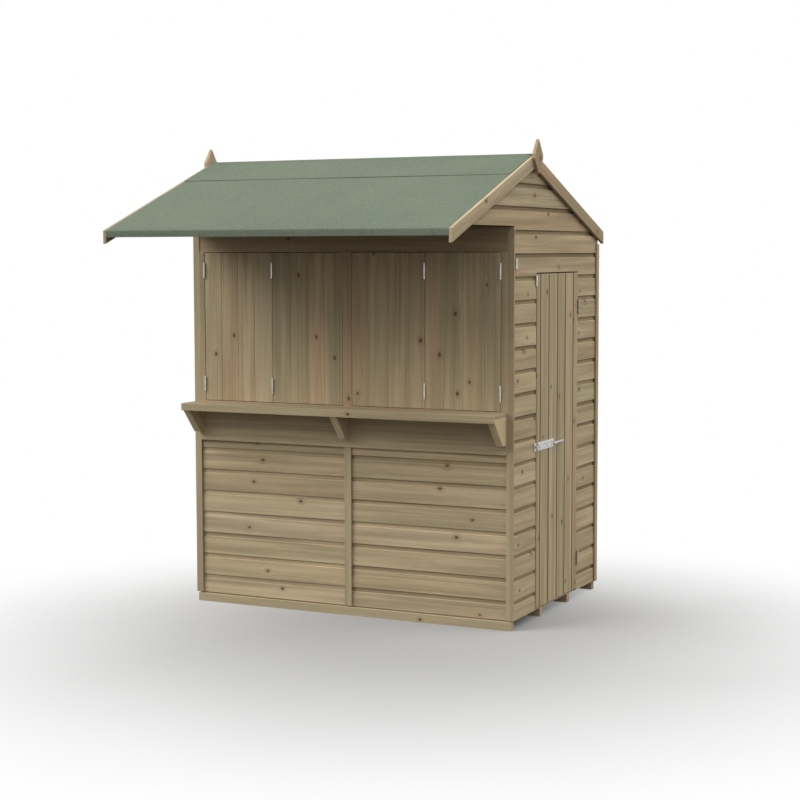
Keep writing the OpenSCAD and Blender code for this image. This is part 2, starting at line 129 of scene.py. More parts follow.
class GardenBarColours(PropertyGroup):
    tan: colour_of("Tan", "Main colour of the treated timber", (0.470, 0.362, 0.218))
    green_tan: colour_of("Green tan", "Greenish boards and patches", (0.442, 0.364, 0.218))
    pink_tan: colour_of("Pink tan", "Pinkish boards and patches", (0.482, 0.342, 0.204))
    grey_tan: colour_of("Grey tan", "Paler, greyer boards", (0.495, 0.394, 0.254))
    knot: colour_of("Knot", "Knots in the timber", (0.118, 0.070, 0.034))
    # Partly painted highlight: the worn-edge colour also stands in for light caught on the bevelled edges
    arris: colour_of("Worn edge", "Rubbed edges of the boards", (0.575, 0.460, 0.300))
    felt: colour_of("Felt", "Mineral surface of the roofing felt", (0.132, 0.163, 0.115))
    zinc: colour_of("Zinc", "Galvanised fittings", (0.66, 0.65, 0.63))
    floor: colour_of("Floor", "Pale studio floor", (0.41, 0.41, 0.41))


# ---- Materials ----


class Nodes:
    """Lays out the nodes of a material or of the world."""

    def __init__(self, tree):
        self.tree = tree
        self.tree.nodes.clear()

    def add(self, kind, **settings):
        node = self.tree.nodes.new(kind)
        for key, value in settings.items():
            setattr(node, key, value)
        return node

    def put(self, socket, value):
        if isinstance(value, bpy.types.NodeSocket):
            self.tree.links.new(value, socket)
        else:
            socket.default_value = value

    def maths(self, operation, a, b=0.0, clamp=False):
        node = self.add("ShaderNodeMath", operation=operation, use_clamp=clamp)
        self.put(node.inputs[0], a)
        self.put(node.inputs[1], b)
        return node.outputs[0]

    def times(self, a, b):
        return self.maths("MULTIPLY", a, b)

    def vector(self, operation, a, b):
        node = self.add("ShaderNodeVectorMath", operation=operation)
        self.put(node.inputs[0], a)
        self.put(node.inputs[1], b)
        return node.outputs[0]

    def join(self, x, y, z):
        node = self.add("ShaderNodeCombineXYZ")
        for socket, value in zip(node.inputs, (x, y, z)):
            self.put(socket, value)
        return node.outputs[0]

    def split(self, vector):
        node = self.add("ShaderNodeSeparateXYZ")
        self.put(node.inputs[0], vector)
        return node.outputs

    def attribute(self, name, output):
        node = self.add("ShaderNodeAttribute", attribute_name=name)
        return node.outputs[output]

    def noise(self, vector, scale, detail=2.0, roughness=0.5, distortion=0.0):
        node = self.add("ShaderNodeTexNoise")
        self.put(node.inputs["Vector"], vector)
        node.inputs["Scale"].default_value = scale
        node.inputs["Detail"].default_value = detail
        node.inputs["Roughness"].default_value = roughness
        node.inputs["Distortion"].default_value = distortion
        return node.outputs[0]

    def fade(self, value, start, end, low=0.0, high=1.0):
        node = self.add("ShaderNodeMapRange", interpolation_type="SMOOTHSTEP")
        self.put(node.inputs["Value"], value)
        self.put(node.inputs["From Min"], start)
        self.put(node.inputs["From Max"], end)
        self.put(node.inputs["To Min"], low)
        self.put(node.inputs["To Max"], high)
        return node.outputs[0]

    def mix(self, factor, a, b, blend="MIX"):
        node = self.add("ShaderNodeMix", data_type="RGBA", blend_type=blend)
        self.put(node.inputs[0], factor)
        self.put(node.inputs[6], a)
        self.put(node.inputs[7], b)
        return node.outputs[2]

    def ramp(self, factor, stops):
        node = self.add("ShaderNodeValToRGB")
        ramp = node.color_ramp
        while len(ramp.elements) < len(stops):
            ramp.elements.new(0.5)
        for element, (place, colour) in zip(ramp.elements, stops):
            element.position = place
            element.color = colour
        self.put(node.inputs[0], factor)
        return node.outputs[0]

    def bump(self, height, strength, distance, before=None):
        node = self.add("ShaderNodeBump")
        self.put(node.inputs["Height"], height)
        node.inputs["Strength"].default_value = strength
        node.inputs["Distance"].default_value = distance
        if before is not None:
            self.put(node.inputs["Normal"], before)
        return node.outputs[0]

    def cells(self, place, scale, **settings):
        """Random cells: their node, and the three chances of each cell."""
        node = self.add("ShaderNodeTexVoronoi", feature="F1", **settings)
        self.put(node.inputs["Vector"], place)
        node.inputs["Scale"].default_value = scale
        pick = self.add("ShaderNodeSeparateColor")
        self.put(pick.inputs[0], node.outputs["Color"])
        return node, pick.outputs


class Finish(Nodes):
    """The nodes of one material."""

    def __init__(self, name):
        self.material = bpy.data.materials.new(name)
        self.material.use_nodes = True
        super().__init__(self.material.node_tree)

    def surface(self, colour, roughness, normal, **fixed):
        shader = self.add("ShaderNodeBsdfPrincipled")
        self.put(shader.inputs["Base Color"], colour)
        self.put(shader.inputs["Roughness"], roughness)
        if normal is not None:
            self.put(shader.inputs["Normal"], normal)
        for key, value in fixed.items():
            shader.inputs[key.replace("_", " ")].default_value = value
        output = self.add("ShaderNodeOutputMaterial")
        self.tree.links.new(shader.outputs[0], output.inputs[0])
        return self.material


def solid(colour, shade=1.0):
    return tuple(min(1.0, c * shade) for c in colour) + (1.0,)


def timber_finish(name, colours, shade=1.0, knots=0.6, figure=1.0, stain=1.0):
    """Pressure-treated softwood: streaks, late wood, patches and knots, pale edges that are partly rubbed
    wear and partly painted highlight, and painted shade in grooves and rebates.
    """
    f = Finish(name)
    grain = f.attribute("grain", "Vector")
    tone = f.attribute("tone", "Fac")
    x, y, z = f.split(grain)

    # One knot to a cell of the board, kept or left out by chance
    cell = (1.4, 9.0, 1.0)
    cells, chance = f.cells(f.vector("MULTIPLY", grain, cell), 1.0, voronoi_dimensions="2D")
    cells.inputs["Randomness"].default_value = 0.6
    middle = f.vector("DIVIDE", cells.outputs["Position"], cell)
    kept = f.maths("LESS_THAN", chance[0], knots)
    radius = f.maths("MULTIPLY_ADD", chance[1], 0.0045)
    radius.node.inputs[2].default_value = 0.0060
    away = f.split(f.vector("SUBTRACT", grain, middle))
    wobble = f.noise(f.vector("MULTIPLY", grain, (90.0, 90.0, 90.0)), 1.0, 1.0)
    wobble = f.times(f.maths("SUBTRACT", wobble, 0.5), 0.0035)
    along = f.times(away[0], 0.72)
    span = f.maths("ADD", f.times(along, along), f.times(away[1], away[1]))
    span = f.maths("ADD", f.maths("SQRT", span), wobble)
    inner = f.times(radius, 0.7)
    outer = f.times(radius, 2.8)
    core = f.times(f.fade(span, inner, radius, 1.0, 0.0), kept)
    halo = f.times(f.fade(span, radius, outer, 1.0, 0.0), kept)
    pull = f.times(f.fade(span, 0.004, 0.045, 0.82, 0.0), kept)

    # Grain that parts round the knots
    bent = f.maths("SUBTRACT", y, f.times(away[1], pull))
    def drawn_out(parts, scales, *settings):
        """Noise on three coordinates, each with a scale of its own."""
        scaled = [f.times(part, scale) for part, scale in zip(parts, scales)]
        return f.noise(f.join(*scaled), 1.0, *settings)

    broad = drawn_out((x, bent, z), (1.1, 26.0, 26.0), 2.0, 0.55, 0.15)
    late = drawn_out((x, bent, z), (0.7, 95.0, 95.0), 1.5, 0.5, 0.1)
    fibre = drawn_out((x, bent, z), (16.0, 480.0, 480.0), 2.0, 0.6)
    patch = drawn_out((x, y, tone), (2.3, 8.0, 17.0), 2.0, 0.5)
    drift = drawn_out((x, y, tone), (1.2, 5.0, 31.0), 1.0, 0.5)

    tan = solid(colours.tan, shade)
    green = solid(colours.green_tan, shade)
    pink = solid(colours.pink_tan, shade)
    grey = solid(colours.grey_tan, shade)
    board = f.ramp(tone, [(0.0, tan), (0.25, green), (0.45, tan), (0.62, grey), (0.8, tan), (1.0, pink)])
    colour = f.mix(f.fade(patch, 0.54, 0.74, 0.0, 0.5 * stain), board, pink)
    colour = f.mix(f.fade(drift, 0.50, 0.72, 0.0, 0.55 * stain), colour, green)
    lot = f.noise(f.join(f.times(tone, 61.0), 3.7, 1.9), 1.0, 0.0)
    streak = f.fade(broad, 0.25, 0.78, 1.0 - 0.17 * figure, 1.0 + 0.12 * figure)
    streak = f.times(streak, f.fade(lot, 0.25, 0.75, 0.91, 1.07))
    lines = f.fade(late, 0.56, 0.76, 1.0, 1.0 - 0.17 * figure)
    hair = f.fade(fibre, 0.2, 0.8, 1.0 - 0.07 * figure, 1.0 + 0.06 * figure)
    shadeful = f.times(f.times(streak, lines), hair)
    colour = f.mix(1.0, colour, f.join(shadeful, shadeful, shadeful), "MULTIPLY")
    warm = f.times(f.fade(late, 0.55, 0.8, 0.0, 0.35), figure)
    colour = f.mix(warm, colour, solid(colours.pink_tan, shade * 0.74))
    knot = solid(colours.knot, 1.0)
    rim = tuple(0.5 * a + 0.5 * b for a, b in zip(knot, pink))
    colour = f.mix(f.times(halo, 0.42), colour, rim)
    colour = f.mix(f.times(core, 0.92), colour, knot)
    # Pale edges: partly rubbed wear, partly painted highlight where light catches the bevelled arrises
    wear_and_highlight = f.times(f.attribute("arris", "Fac"), f.fade(broad, 0.3, 0.7, 0.3, 0.85))
    colour = f.mix(wear_and_highlight, colour, solid(colours.arris, shade))
    # Painted shade: faces in grooves, rebates and on the brackets' sides are drawn darker, standing in for
    # the shade that falls there
    colour = f.mix(f.attribute("shaded_recess", "Fac"), colour, (0.46, 0.42, 0.32, 1.0), "MULTIPLY")
    rough = f.fade(broad, 0.2, 0.8, 0.86, 0.70)
    height = f.maths("ADD", f.times(late, 0.5), f.times(fibre, 0.5))
    normal = f.bump(height, 0.35, 0.0006)
    normal = f.bump(core, 0.4, 0.0006, normal)
    return f.surface(colour, rough, normal, Specular_IOR_Level=0.3)


def felt_finish(colours):
    """Green mineral felt: crushed slate in two greens, with darker bitumen between."""
    f = Finish("mineral_felt")
    place = f.add("ShaderNodeTexCoord").outputs["Object"]
    cloud = f.noise(place, 2.6, 3.0, 0.6)
    fine = f.noise(place, 620.0, 2.0, 0.6)
    mottle = f.noise(place, 46.0, 3.0, 0.65)
    specks, chance = f.cells(place, 480.0)
    base = f.mix(f.fade(cloud, 0.3, 0.7), solid(colours.felt, 0.93), solid(colours.felt, 1.07))
    base = f.mix(f.fade(mottle, 0.35, 0.7, 0.0, 0.5), base, solid((0.142, 0.180, 0.134), 1.0))
    base = f.mix(f.fade(chance[0], 0.72, 0.95, 0.0, 0.6), base, solid((0.26, 0.295, 0.225)))
    base = f.mix(f.fade(chance[1], 0.74, 0.97, 0.0, 0.6), base, solid((0.055, 0.074, 0.048)))
    height = f.maths("ADD", f.times(fine, 0.5), specks.outputs["Distance"])
    normal = f.bump(height, 0.45, 0.0009)
    rough = f.fade(fine, 0.2, 0.8, 0.97, 0.85)
    return f.surface(base, rough, normal, Specular_IOR_Level=0.2)


def zinc_finish(name, colour, worn=0.5):
    """Galvanised steel: spangle, dull patches and a little rust in the scratches."""
    f = Finish(name)
    place = f.add("ShaderNodeTexCoord").outputs["Object"]
    spangle = f.cells(place, 170.0)[1]
    dull = f.noise(place, 60.0, 3.0, 0.6)
    rust = f.noise(place, 130.0, 3.0, 0.7)
    shade = f.mix(spangle[0], solid(colour, 0.86), solid(colour, 1.1))
    shade = f.mix(f.fade(dull, 0.4, 0.7, 0.0, 0.5), shade, solid(colour, 0.66))
    shade = f.mix(f.fade(rust, 0.66, 0.78, 0.0, worn), shade, (0.20, 0.10, 0.05, 1.0))
    rough = f.fade(dull, 0.3, 0.7, 0.34, 0.52)
    normal = f.bump(dull, 0.2, 0.0003)
    return f.surface(shade, rough, normal, Metallic=0.85)


def nail_finish():
    """Weathered nail heads, dull and a little rusty."""
    f = Finish("nail_head")
    place = f.add("ShaderNodeTexCoord").outputs["Object"]
    dull = f.noise(place, 260.0, 2.0, 0.6)
    shade = f.mix(f.fade(dull, 0.35, 0.65), (0.115, 0.098, 0.078, 1.0), (0.205, 0.180, 0.145, 1.0))
    return f.surface(shade, f.fade(dull, 0.3, 0.7, 0.7, 0.5), None, Specular_IOR_Level=0.3)


def shadow_finish():
    """Painted shade: the dark inside of a screw's slot or a hole, drawn as a dark sheet or disc."""
    f = Finish("painted_hole_shade")
    place = f.add("ShaderNodeTexCoord").outputs["Object"]
    shade_mottle = f.noise(place, 400.0, 2.0, 0.5)
    shade = f.mix(shade_mottle, (0.012, 0.010, 0.008, 1.0), (0.035, 0.028, 0.022, 1.0))
    return f.surface(shade, 0.9, None)


FINISHES = {}

# Shade, share of knots, strength of the figure and of the stains, for each kind of timber
TIMBERS = {
    "lapped_timber": (1.02, 0.85, 1.3, 1.1),
    "planed_timber": (0.9, 0.42, 1.1, 1.0),
    "gable_timber": (0.9, 0.85, 1.3, 1.1),
    # This timber is drawn half again as bright: painted light on the counter brackets' sloping fronts
    "painted_light_timber": (1.5, 0.3, 0.8, 0.6),
    "leaf_timber": (0.97, 0.8, 1.2, 1.1),
    "framing_timber": (0.98, 0.4, 0.9, 0.8),
    # This timber is drawn at half brightness: painted shade, so that the roof boards throw little light onto
    # the head board under the canopy
    "roof_timber": (0.5, 0.6, 1.1, 0.6),
}
# A darker, tan zinc, used for the door's hinges
DARK_TAN_ZINC = (0.38, 0.31, 0.215)


def finish_named(name):
    """Makes each finish when the first piece asks for it."""
    if name in FINISHES:
        return FINISHES[name]
    colours = bpy.context.scene.garden_bar_colours
    if name in TIMBERS:
        FINISHES[name] = timber_finish(name, colours, *TIMBERS[name])
    elif name == "mineral_felt":
        FINISHES[name] = felt_finish(colours)
    elif name == "bright_zinc":
        FINISHES[name] = zinc_finish(name, colours.zinc, 0.15)
    elif name == "dark_tan_zinc":
        FINISHES[name] = zinc_finish(name, DARK_TAN_ZINC, 0.3)
    elif name == "nail_head":
        FINISHES[name] = nail_finish()
    else:
        FINISHES[name] = shadow_finish()
    return FINISHES[name]


# ---- Woodwork ----


def turned_rings(bm, centre, axis, outline, sides, material):
    """Faces turned round an axis, closed at both ends; outline holds (radius, height) pairs."""
    side = axis.orthogonal().normalized()
    other = axis.cross(side)
    rings = []
    for radius, height in outline:
        ring = []
        for i in range(sides):
            turn = math.tau * i / sides
            out = side * math.cos(turn) + other * math.sin(turn)
            ring.append(bm.verts.new(centre + out * radius + axis * height))
        rings.append(ring)
    for near, far in zip(rings, rings[1:]):
        for i in range(sides):
            j = (i + 1) % sides
            bm.faces.new((near[i], near[j], far[j], far[i])).material_index = material
    for ring in (tuple(reversed(rings[0])), rings[-1]):
        bm.faces.new(ring).material_index = material
    return rings


class Boards:
    """The boards of one piece, cut one at a time, each with its own run of grain."""

    def __init__(self, name, seed, phase=0.0, stray=0.45):
        self.name = name
        self.bm = bmesh.new()
        self.mark = self.bm.verts.layers.int.new("board_number")
        self.square = self.bm.edges.layers.int.new("left_square")
        self.worn = self.bm.faces.layers.float.new("arris")
        self.deep = self.bm.faces.layers.float.new("shaded_recess")
        self.dice = random.Random(seed)
        self.seed = seed
        self.phase = phase
        self.stray = stray
        # Painted shade in grooves and rebates: how dark their faces are drawn; on lapped boards it also sets
        # how deep the rebate's step is
        self.groove_shade_and_depth = 0.62
        # Painted shade on the end faces, set for the counter brackets' sides
        self.end_painted_shade = 0.0
        self.grains = []
        self.nails = []

    def grain(self, along, across, middle, tone=None):
        """A new board's grain: its long direction, its width and a point on its middle line."""
        along = Vector(along).normalized()
        across = Vector(across)
        across = (across - along * across.dot(along)).normalized()
        depth = along.cross(across)
        cell = self.dice.randrange(400)
        shift = Vector((
            self.phase + self.dice.uniform(-self.stray, self.stray),
            (cell + 0.3) / 9.0,
            self.dice.uniform(0.0, 40.0),
        ))
        if tone is None:
            tone = self.dice.random()
        self.grains.append((along, across, depth, Vector(middle), shift, tone))
        return len(self.grains) - 1

    def loft(self, rings, grain, shaded_recess=(), hidden=()):
        """A board through closed rings of points, from one end to the other.

        The sides that lie in a groove or rebate, given in the third argument, get painted shade; hidden
        lists the ring points whose edges stay square because nothing shows of them.
        """
        rows = []
        for ring in rings:
            row = [self.bm.verts.new(point) for point in ring]
            for vert in row:
                vert[self.mark] = grain
            rows.append(row)
        count = len(rows[0])
        for near, far in zip(rows, rows[1:]):
            for i in range(count):
                j = (i + 1) % count
                face = self.bm.faces.new((near[i], near[j], far[j], far[i]))
                # Faces in a groove or rebate get painted shade
                if i in shaded_recess:
                    face[self.deep] = self.groove_shade_and_depth
        # End faces get the end painted shade
        for ring in (tuple(reversed(rows[0])), rows[-1]):
            self.bm.faces.new(ring)[self.deep] = self.end_painted_shade
        for i in hidden:
            for near, far in zip(rows, rows[1:]):
                self.bm.edges.get((near[i], far[i]))[self.square] = 1
            j = (i + 1) % count
            if j in hidden:
                for row in (rows[0], rows[-1]):
                    self.bm.edges.get((row[i], row[j]))[self.square] = 1

    def plank(self, low, high, face, vees, tone=None):
        """An upright board with its long edges cut back to a V on the face that shows; the V's faces get
        painted shade.
        """
        low, high = Vector(low), Vector(high)
        out = Vector(face)
        deep, wide = (0, 1) if abs(out.x) > 0.5 else (1, 0)
        way = out[deep]
        near, far = (low[deep], high[deep]) if way > 0 else (high[deep], low[deep])
        first, last = vees
        points = [(low[wide], near)]
        shaded_recess = []
        if first:
            shaded_recess += [0, 1]
            points += [(low[wide], far - way * first), (low[wide] + first, far)]
        else:
            points += [(low[wide], far)]
        if last:
            shaded_recess += [len(points), len(points) + 1]
            points += [(high[wide] - last, far), (high[wide], far - way * last)]
        else:
            points += [(high[wide], far)]
        points += [(high[wide], near)]
        across = Vector()
        across[wide] = 1.0
        grain = self.grain((0, 0, 1), across, (low + high) / 2, tone)
        rings = []
        for z in (low.z, high.z):
            ring = []
            for a, b in points:
                point = Vector((0.0, 0.0, z))
                point[wide], point[deep] = a, b
                ring.append(point)
            rings.append(ring)
        count = len(points)
        self.loft(rings, grain, shaded_recess, (0, count - 1))
        return grain

    def bar(self, low, high, tone=None, along=None, grain=None, bend=0.0):
        """A square-cut timber between two corners, with its grain down its length."""
        low, high = Vector(low), Vector(high)
        size = high - low
        if along is None:
            along = max(range(3), key=lambda i: size[i])
        sides = [i for i in range(3) if i != along]
        wide = max(sides, key=lambda i: size[i])
        if grain is None:
            run, width = Vector(), Vector()
            run[along], width[wide] = 1.0, 1.0
            grain = self.grain(run, width, (low + high) / 2, tone)
        a, b = sides
        count = max(1, round(size[along] / 0.3)) if bend else 1
        rings = []
        for step in range(count + 1):
            at = low[along] + size[along] * step / count
            ring = []
            for pa, pb in ((low[a], low[b]), (high[a], low[b]), (high[a], high[b]), (low[a], high[b])):
                point = Vector()
                point[along], point[a], point[b] = at, pa, pb
                if bend and 0 < step < count:
                    point[a] += bend * noise.noise((at * 2.1, grain * 7.3, 1.7))
                    point[b] += bend * noise.noise((at * 2.1, grain * 7.3, 9.1))
                ring.append(point)
            rings.append(ring)
        self.loft(rings, grain)
        return grain

    def prism(self, x0, x1, outline, along, across, tone=None, stations=1):
        """A timber cut to an outline of (y, z) points, from x0 to x1."""
        middle = Vector((
            (x0 + x1) / 2,
            sum(p[0] for p in outline) / len(outline),
            sum(p[1] for p in outline) / len(outline),
        ))
        grain = self.grain(along, across, middle, tone)
        rings = []
        for step in range(stations + 1):
            x = x0 + (x1 - x0) * step / stations
            rings.append([Vector((x, y, z)) for y, z in outline])
        self.loft(rings, grain)
        return grain

    def nail(self, place, normal):
        self.nails.append((Vector(place), Vector(normal).normalized()))

    def round_edges(self, width, seam=None):
        """Takes the arris off each board in turn, so that a thin one can't hold back the rest."""
        self.bm.verts.ensure_lookup_table()
        bmesh.ops.recalc_face_normals(self.bm, faces=self.bm.faces[:])
        by_board = {}
        for edge in self.bm.edges:
            if not edge.is_manifold or edge[self.square] or edge.calc_face_angle() < 0.7:
                continue
            if not edge.is_convex:
                continue
            if seam is not None and seam(edge):
                continue
            by_board.setdefault(edge.verts[0][self.mark], []).append(edge)
        for edges in by_board.values():
            made = bmesh.ops.bevel(
                self.bm,
                geom=edges,
                offset=width,
                offset_type="OFFSET",
                segments=2,
                profile=0.6,
                affect="EDGES",
                clamp_overlap=True,
            )
            # New edge faces take the pale edge colour, partly wear and partly painted highlight, and drop
            # the painted groove shade
            for face in made["faces"]:
                face[self.worn] = 1.0
                face[self.deep] = 0.0

    def drive_nails(self, radius):
        """Sets the nails' heads, a hair proud of the boards."""
        head = ((radius, -0.0004), (radius, 0.0003), (radius * 0.6, 0.0006))
        for place, normal in self.nails:
            for ring in turned_rings(self.bm, place, normal, head, 8, 1):
                for vert in ring:
                    vert[self.mark] = -1

    def finish(self, finish, body, slot, nodes, arris=None, seam=None):
        """Rounds the edges, stores the grain and hands the piece to its body."""
        sizes = bpy.context.scene.garden_bar_sizes
        self.round_edges(arris or sizes.arris, seam)
        self.drive_nails(sizes.nail)
        rows, tones = [], []
        for vert in self.bm.verts:
            if vert[self.mark] < 0:
                rows += [0.0, 0.0, 0.0]
                tones.append(0.5)
                continue
            along, across, depth, middle, shift, shade = self.grains[vert[self.mark]]
            local = vert.co - middle
            rows += [
                along.dot(vert.co) + shift.x,
                across.dot(local) + shift.y,
                depth.dot(local) + shift.z,
            ]
            tones.append(shade)
        finishes = (finish, "nail_head") if self.nails else (finish,)
        piece = made_piece(self.name, self.bm, finishes)
        mesh = piece.data
        mesh.attributes.new("grain", "FLOAT_VECTOR", "POINT")
        mesh.attributes.new("tone", "FLOAT", "POINT")
        mesh.attributes["grain"].data.foreach_set("vector", rows)
        mesh.attributes["tone"].data.foreach_set("value", tones)
        mesh.attributes.remove(mesh.attributes["board_number"])
        mesh.attributes.remove(mesh.attributes["left_square"])
        return hand_over(piece, body, nodes)


def made_piece(name, bm, finishes, smooth=None):
    """An object from a finished mesh; smooth is the angle from which its edges stay sharp."""
    mesh = bpy.data.meshes.new(name)
    bm.to_mesh(mesh)
    bm.free()
    if smooth is not None:
        mesh.polygons.foreach_set("use_smooth", [True] * len(mesh.polygons))
        mesh.set_sharp_from_angle(angle=smooth)
    for finish in finishes:
        mesh.materials.append(finish_named(finish))
    piece = bpy.data.objects.new(name, mesh)
    bpy.context.scene.collection.objects.link(piece)
    return piece


def hand_over(piece, body, nodes):
    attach(piece, body)
    if nodes:
        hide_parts(*nodes)
    return piece


def lone_timber(name, node, seed, phase, tone, bend, arris):
    """A planed timber that fills its node's box."""
    timber = Boards(name, seed, phase)
    timber.bar(*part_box(node), tone, bend=bend)
    timber.finish("planed_timber", "root", "planed_timber", [node], arris)


# Walls as places for lapped boards: u runs along the wall, d out of it and z up
def on_left(u, d, z):
    return Vector((-END_X - d, u, z))


def on_right(u, d, z):
    return Vector((END_X + d, u, z))


def on_front(u, d, z):
    return Vector((u, CLAD_Y - d, z))


def on_rear(u, d, z):
    return Vector((u, REAR_Y + d, z))


def courses(low, high):
    """Each course between two heights, with the limits that its board would have in full."""
    sizes = bpy.context.scene.garden_bar_sizes
    lines = [CLAD_LOW]
    z = sizes.first_lap
    while z < high - 0.03:
        lines.append(z)
        z += sizes.course
    lines.append(z)
    made = []
    for bottom, top in zip(lines, lines[1:]):
        if top > low + 0.001 and bottom < high:
            made.append((bottom, top, max(bottom, low), min(top, high)))
    bottom, top, cut_low = made[-1][:3]
    made[-1] = (bottom, top, cut_low, high)
    return made


def lap_board(boards, wall, limits, left, right, grain):
    """One tapered board of a lapped wall: left(z) and right(z) are its ends at each height."""
    sizes = bpy.context.scene.garden_bar_sizes
    bottom, top, cut_low, cut_high = limits
    shoulder = top - sizes.rebate
    ledge = 0.0015

    def face(z):
        rise = (z - bottom) / (shoulder - bottom)
        if z <= shoulder:
            return -sizes.taper * rise
        # The rebate's step is deeper where the painted groove shade is stronger
        step = (sizes.butt - sizes.taper) * min(1.0, 0.4 + boards.groove_shade_and_depth)
        return -sizes.taper - step * min(1.0, (z - shoulder) / ledge)

    heights = [cut_low]
    for z in (shoulder, shoulder + ledge):
        if cut_low + 0.002 < z < cut_high - 0.002:
            heights.append(z)
    heights.append(cut_high)
    long = max(right(z) - left(z) for z in heights)
    count = max(2, round(long / 0.13))
    number = boards.seed * 3.1 + grain * 1.7
    rings = []
    for step in range(count + 1):
        share = step / count
        ring = []
        for z in heights:
            u = left(z) + (right(z) - left(z)) * share
            lean = max(0.0, 1.0 - (z - bottom) / (top - bottom))
            bow = 0.5 + 0.9 * noise.noise((u * 1.3, number, 0.3))
            ring.append(wall(u, face(z) - sizes.bow * lean * min(1.0, max(0.0, bow)), z))
        for z in (cut_high, cut_low):
            u = left(z) + (right(z) - left(z)) * share
            ring.append(wall(u, -CLAD_T, z))
        rings.append(ring)
    hidden = [i for i, z in enumerate(heights) if z > shoulder + 0.001]
    shaded_recess = [i for i in hidden if i < len(heights) - 1]
    hidden += [len(heights), len(heights) + 1]
    boards.loft(rings, grain, shaded_recess, hidden)


def lapped(boards, wall, low, high, left, right, tones=None, nail_at=()):
    """Courses of lapped boards from low to high."""
    for index, limits in enumerate(courses(low, high)):
        middle = wall(0.0, 0.0, (limits[0] + limits[1]) / 2)
        tone = tones[index] if tones else None
        run = wall(1.0, 0.0, 0.0) - wall(0.0, 0.0, 0.0)
        grain = boards.grain(run, (0, 0, 1), middle, tone)
        lap_board(boards, wall, limits, left, right, grain)
        nail_course(boards, wall, limits, left, right, nail_at)


def nail_course(boards, wall, limits, left, right, nail_at):
    sizes = bpy.context.scene.garden_bar_sizes
    bottom, top, cut_low, cut_high = limits
    z = cut_low + 0.026
    if z > cut_high - 0.02:
        return
    normal = wall(0.0, 1.0, 0.0) - wall(0.0, 0.0, 0.0)
    depth = -sizes.taper * (z - bottom) / (top - bottom - sizes.rebate)
    for u in nail_at:
        if left(z) + 0.008 < u < right(z) - 0.008:
            stray = boards.dice.uniform(-0.004, 0.004)
            height = z + boards.dice.uniform(-0.004, 0.004)
            boards.nail(wall(u + stray, depth - 0.0004, height), normal)


def fixed(value):
    return lambda z: value


def gable_reach(z):
    """How far a gable board reaches from the ridge line before the roof stops it."""
    return max(0.004, (RIDGE_UNDER - z - 0.0005) / SLOPE)


# ---- Metalwork ----


class Fitting:
    """Turned, bent and cut metal parts of one fitting."""

    def __init__(self, name):
        self.name = name
        self.bm = bmesh.new()

    def turned(self, centre, axis, outline, sides=20, shade=0):
        """A turned part: outline holds (radius, height) pairs along the axis."""
        turned_rings(self.bm, Vector(centre), Vector(axis).normalized(), outline, sides, shade)

    def cut_out(self, outline, origin, u, v, thick, soft=0.0004, shade=0):
        """A flat part: outline holds (u, v) points, and thick is how far it stands out."""
        origin, u, v = Vector(origin), Vector(u).normalized(), Vector(v).normalized()
        out = u.cross(v) * thick
        near = [self.bm.verts.new(origin + u * a + v * b) for a, b in outline]
        far = [self.bm.verts.new(point.co + out) for point in near]
        faces = [self.bm.faces.new(tuple(reversed(near))), self.bm.faces.new(far)]
        for i in range(len(near)):
            j = (i + 1) % len(near)
            faces.append(self.bm.faces.new((near[i], near[j], far[j], far[i])))
        for face in faces:
            face.material_index = shade
        if soft:
            edges = {e for e in faces[1].edges}
            bmesh.ops.bevel(self.bm, geom=list(edges), offset=soft, segments=2, profile=0.6,
                            affect="EDGES", clamp_overlap=True)

    def screw(self, centre, normal, radius=0.0036, turn=0.4):
        """A cross-head screw, lying a hair proud."""
        centre, normal = Vector(centre), Vector(normal).normalized()
        self.turned(centre, normal, [(radius, -0.0003), (radius, 0.0004), (radius * 0.82, 0.0010),
                                     (radius * 0.5, 0.0014), (radius * 0.2, 0.0015)], 18)
        # The cross is two thin dark sheets of painted shade laid on the head
        side = normal.orthogonal().normalized()
        other = normal.cross(side)
        for extra in (0.0, math.pi / 2):
            a = side * math.cos(turn + extra) + other * math.sin(turn + extra)
            b = normal.cross(a)
            long, thin = radius * 0.58, radius * 0.13
            self.cut_out([(-long, -thin), (long, -thin), (long, thin), (-long, thin)],
                         centre + normal * 0.0009, a, b, 0.0008, 0.0, 1)

    def barrel(self, centre, axis, radius, length, joints):
        """A hinge barrel: its knuckles with fine gaps."""
        centre, axis = Vector(centre), Vector(axis).normalized()
        start = centre - axis * length / 2
        step = length / joints
        soft = radius * 0.14
        for i in range(joints):
            self.turned(start + axis * step * i, axis, [
                (radius - soft, 0.0003), (radius, 0.0003 + soft),
                (radius, step - 0.0003 - soft), (radius - soft, step - 0.0003)])

    def finish(self, finish, body, slot, nodes, angle=0.6):
        bmesh.ops.recalc_face_normals(self.bm, faces=self.bm.faces[:])
        # The second material is the painted shade of slots and holes
        piece = made_piece(self.name, self.bm, (finish, "painted_hole_shade"), angle)
        return hand_over(piece, body, nodes)


def rounded(width, height, radius, steps=4):
    """Outline of a plate about its middle, with rounded corners."""
    points = []
    for corner, (sx, sy) in enumerate(((1, 1), (-1, 1), (-1, -1), (1, -1))):
        cx, cy = sx * (width / 2 - radius), sy * (height / 2 - radius)
        for i in range(steps + 1):
            turn = math.pi / 2 * (corner + i / steps)
            points.append((cx + radius * math.cos(turn), cy + radius * math.sin(turn)))
    return points


# ---- Operators, one for each piece or group of like pieces ----


